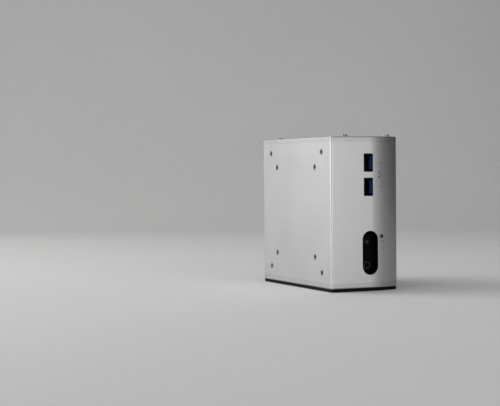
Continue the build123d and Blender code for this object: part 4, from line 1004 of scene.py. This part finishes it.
PASSIVES = 150
PASSIVE_WIDTH, PASSIVE_LENGTH = mm(0.8, 1.6)
BODY_SHARE = 0.6
END_SHIFT, END_WIDTH, END_LENGTH = mm(0.62, 0.84, 0.36)
chip_bodies = Piece("board_passives", ceramic_tan)
chip_ends = Piece("board_passive_ends", tin)
for index in range(PASSIVES):
    upright = draw.random() < 0.5
    size = (PASSIVE_WIDTH, PASSIVE_LENGTH) if upright else (PASSIVE_LENGTH, PASSIVE_WIDTH)
    spot = free_spot(*size)
    if spot is None:
        continue
    y, z = spot
    body = (PASSIVE_WIDTH, PASSIVE_LENGTH * BODY_SHARE)
    end = (END_WIDTH, END_LENGTH)
    shift = (0, END_SHIFT)
    if not upright:
        body, end, shift = body[::-1], end[::-1], shift[::-1]
    chip_bodies.block_at((face + 0.3 * MM, y, z), (0.5 * MM, *body))
    for side in (-1, 1):
        end_centre = (face + 0.29 * MM, y + side * shift[0], z + side * shift[1])
        chip_ends.block_at(end_centre, (0.54 * MM, *end))
chip_bodies.place(bevel=0.04 * MM)
chip_ends.place(bevel=0.04 * MM)


# ---- Details on the drive, the blower and the cards ----
drive_low, drive_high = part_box("solid_state_drive")
COVER_INSET = 5 * MM
cover_screws = Piece("drive_cover_screws", "black_screws")
for y in (drive_low.y + COVER_INSET, drive_high.y - COVER_INSET):
    for z in (drive_low.z + COVER_INSET, drive_high.z - COVER_INSET):
        cover_screws.ring((drive_high.x - 0.05 * MM, y, z), (1, 0, 0), 1.4 * MM, 0.5 * MM, 0.4 * MM, 20)
cover_screws.place()

hub = middle("fan_rotor")
rotor_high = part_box("fan_rotor")[1]
hub_rings = Piece("fan_hub_rings", "rotor_plastic")
hub_face = rotor_high.x - 0.02 * MM
for radius in mm(4, 9.2):
    hub_rings.ring((hub_face, hub.y, hub.z), (1, 0, 0), radius, radius - 0.6 * MM, 0.16 * MM, FINE_SIDES)
hub_rings.place("fan_rotor")
balance = Piece("fan_balance_clay", chip_black)
balance.disc((hub_face, hub.y + 6.5 * MM, hub.z), (1, 0, 0), 1.1 * MM, 0.2 * MM, 20)
balance.place("fan_rotor")

FINGERS, FINGER_MARGIN, FINGER = 60, 3 * MM, mm(0.06, 2, 0.45)
fingers = Piece("card_edge_contacts", contact_gold)
for name in cards[:2]:
    low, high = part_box(name)
    face_x = low.x + CHIP_HEIGHT
    for index in range(FINGERS):
        run = high.z - low.z - 2 * FINGER_MARGIN
        z = low.z + FINGER_MARGIN + run * index / (FINGERS - 1)
        fingers.block_at((face_x, low.y + 3.6 * MM, z), FINGER)
fingers.place(slot="pin_metal")

card_screws = Piece("card_screws", "casing_screws")
for name in cards[2:]:
    low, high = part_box(name)
    head = (low.x + CHIP_HEIGHT - 0.01 * MM, (low.y + high.y) / 2, high.z - 1.4 * MM)
    card_screws.ring(head, (-1, 0, 0), 1.9 * MM, 0.6 * MM, 0.7 * MM, 24)
card_screws.place()


# ---- Stage: pale floor that turns up into a pale wall ----
AZIMUTH = math.radians(-23.457)
ELEVATION = math.radians(1.355)
ROLL = math.radians(-0.463)
CENTRE = Vector((0, 0, 0.065))


def sweep_floor():
    """Floor, cove and wall as one sheet, square to the camera."""
    reach, back, cove, high, half = 3.0, 1.1, 0.7, 3.0, 4.0
    below = 0.3 * MM
    profile = [(-reach, 0.0), (back, 0.0)]
    steps = 24
    for i in range(1, steps + 1):
        t = math.pi / 2 * i / steps
        profile.append((back + cove * math.sin(t), cove * (1 - math.cos(t))))
    profile.append((back + cove, high))
    sheet = bmesh.new()
    rows = []
    for along, height in profile:
        rows.append([sheet.verts.new((side * half, along, height - below)) for side in (-1, 1)])
    for low, top in zip(rows, rows[1:]):
        sheet.faces.new((low[0], low[1], top[1], top[0])).smooth = True
    made = mesh_object("floor", sheet)
    made.rotation_euler = (0, 0, AZIMUTH)
    return made


def paper(name, colour):
    """Matt studio paper."""
    look = Shader(name)
    cloudy = look.noise(3, 3)
    fibre = look.noise(900, 2)
    base = look.toned(cloudy, colour, 0.985, 1.015)
    rough = look.spread(fibre, 0.75, 0.9)
    return look.done(base, rough, (fibre, 0.02))


PALE_PAPER = (0.55, 0.55, 0.545)
BLACK_PAPER = (0.012, 0.012, 0.012)
floor = sweep_floor()
floor.data.materials.append(paper("pale_paper", PALE_PAPER))


def dark_flag():
    """A black card beside the casing, out of the camera's sight, that darkens the curved edge."""
    place = Vector((0.595, -0.10, 0.28))
    half_width, height = 0.34, 0.36
    facing = (CENTRE - place).normalized()
    sideways = Vector((-facing.y, facing.x, 0)).normalized()
    card = bmesh.new()
    corners = [card.verts.new(place + sideways * side * half_width + Vector((0, 0, level * height)))
               for side, level in ((-1, -0.7), (1, -0.7), (1, 1), (-1, 1))]
    card.faces.new(corners)
    return mesh_object("dark_flag", card)


flag = dark_flag()
flag.visible_camera = False
flag.data.materials.append(paper("black_paper", BLACK_PAPER))


def area_light(name, place, size, power, spread=180):
    """A softbox that faces the casing, in watts; a spread under 180 degrees is a grid on its front."""
    light = bpy.data.lights.new(name, "AREA")
    light.shape = "RECTANGLE"
    light.spread = math.radians(spread)
    light.size, light.size_y = size
    light.energy = power
    lamp = scene_object(name, light)
    lamp.location = place
    lamp.rotation_euler = (CENTRE - Vector(place)).to_track_quat("-Z", "Y").to_euler()


area_light("key_left", (-1.15, 0.75, 0.8), (1.2, 1.2), 13)
area_light("key_low", (-1.25, 0.82, 0.36), (1.2, 0.6), 1.9, 110)
area_light("left_fill", (-1.45, -0.35, 0.19), (0.9, 0.36), 0.9, 90)
area_light("front_box", (0.12, -1.6, 0.19), (1.2, 0.36), 1.62, 90)
area_light("top_fill", (-0.35, 0.1, 1.9), (2.4, 2.4), 26)

SKY_COLOUR = (0.73, 0.74, 0.76, 1)
SKY_STRENGTH = 0.16
world = bpy.data.worlds.new("studio")
world.use_nodes = True
background = world.node_tree.nodes["Background"]
background.inputs["Color"].default_value = SKY_COLOUR
background.inputs["Strength"].default_value = SKY_STRENGTH
bpy.context.scene.world = world
bpy.context.scene.view_settings.view_transform = "Standard"

# ---- Camera ----
DISTANCE = 1.1774
SHIFT_RIGHT = 0.06948
SHIFT_UP = -0.00627
FOCAL_PIXELS = 1353.5
IMAGE_WIDTH = 500
SENSOR = 36.0

back = Vector((math.sin(AZIMUTH) * math.cos(ELEVATION), -math.cos(AZIMUTH) * math.cos(ELEVATION),
               math.sin(ELEVATION)))
level = Vector((math.cos(AZIMUTH), math.sin(AZIMUTH), 0))
upward = back.cross(level)
right = level * math.cos(ROLL) + upward * math.sin(ROLL)
up = upward * math.cos(ROLL) - level * math.sin(ROLL)
lens_data = bpy.data.cameras.new("camera")
lens_data.sensor_width = SENSOR
lens_data.lens = FOCAL_PIXELS * SENSOR / IMAGE_WIDTH
lens_data.clip_start, lens_data.clip_end = 0.05, 50
camera = scene_object("camera", lens_data)
place = CENTRE - right * SHIFT_RIGHT - up * SHIFT_UP + back * DISTANCE
camera.matrix_world = Matrix.Translation(place) @ Matrix((right, up, back)).transposed().to_4x4()
bpy.context.scene.camera = camera
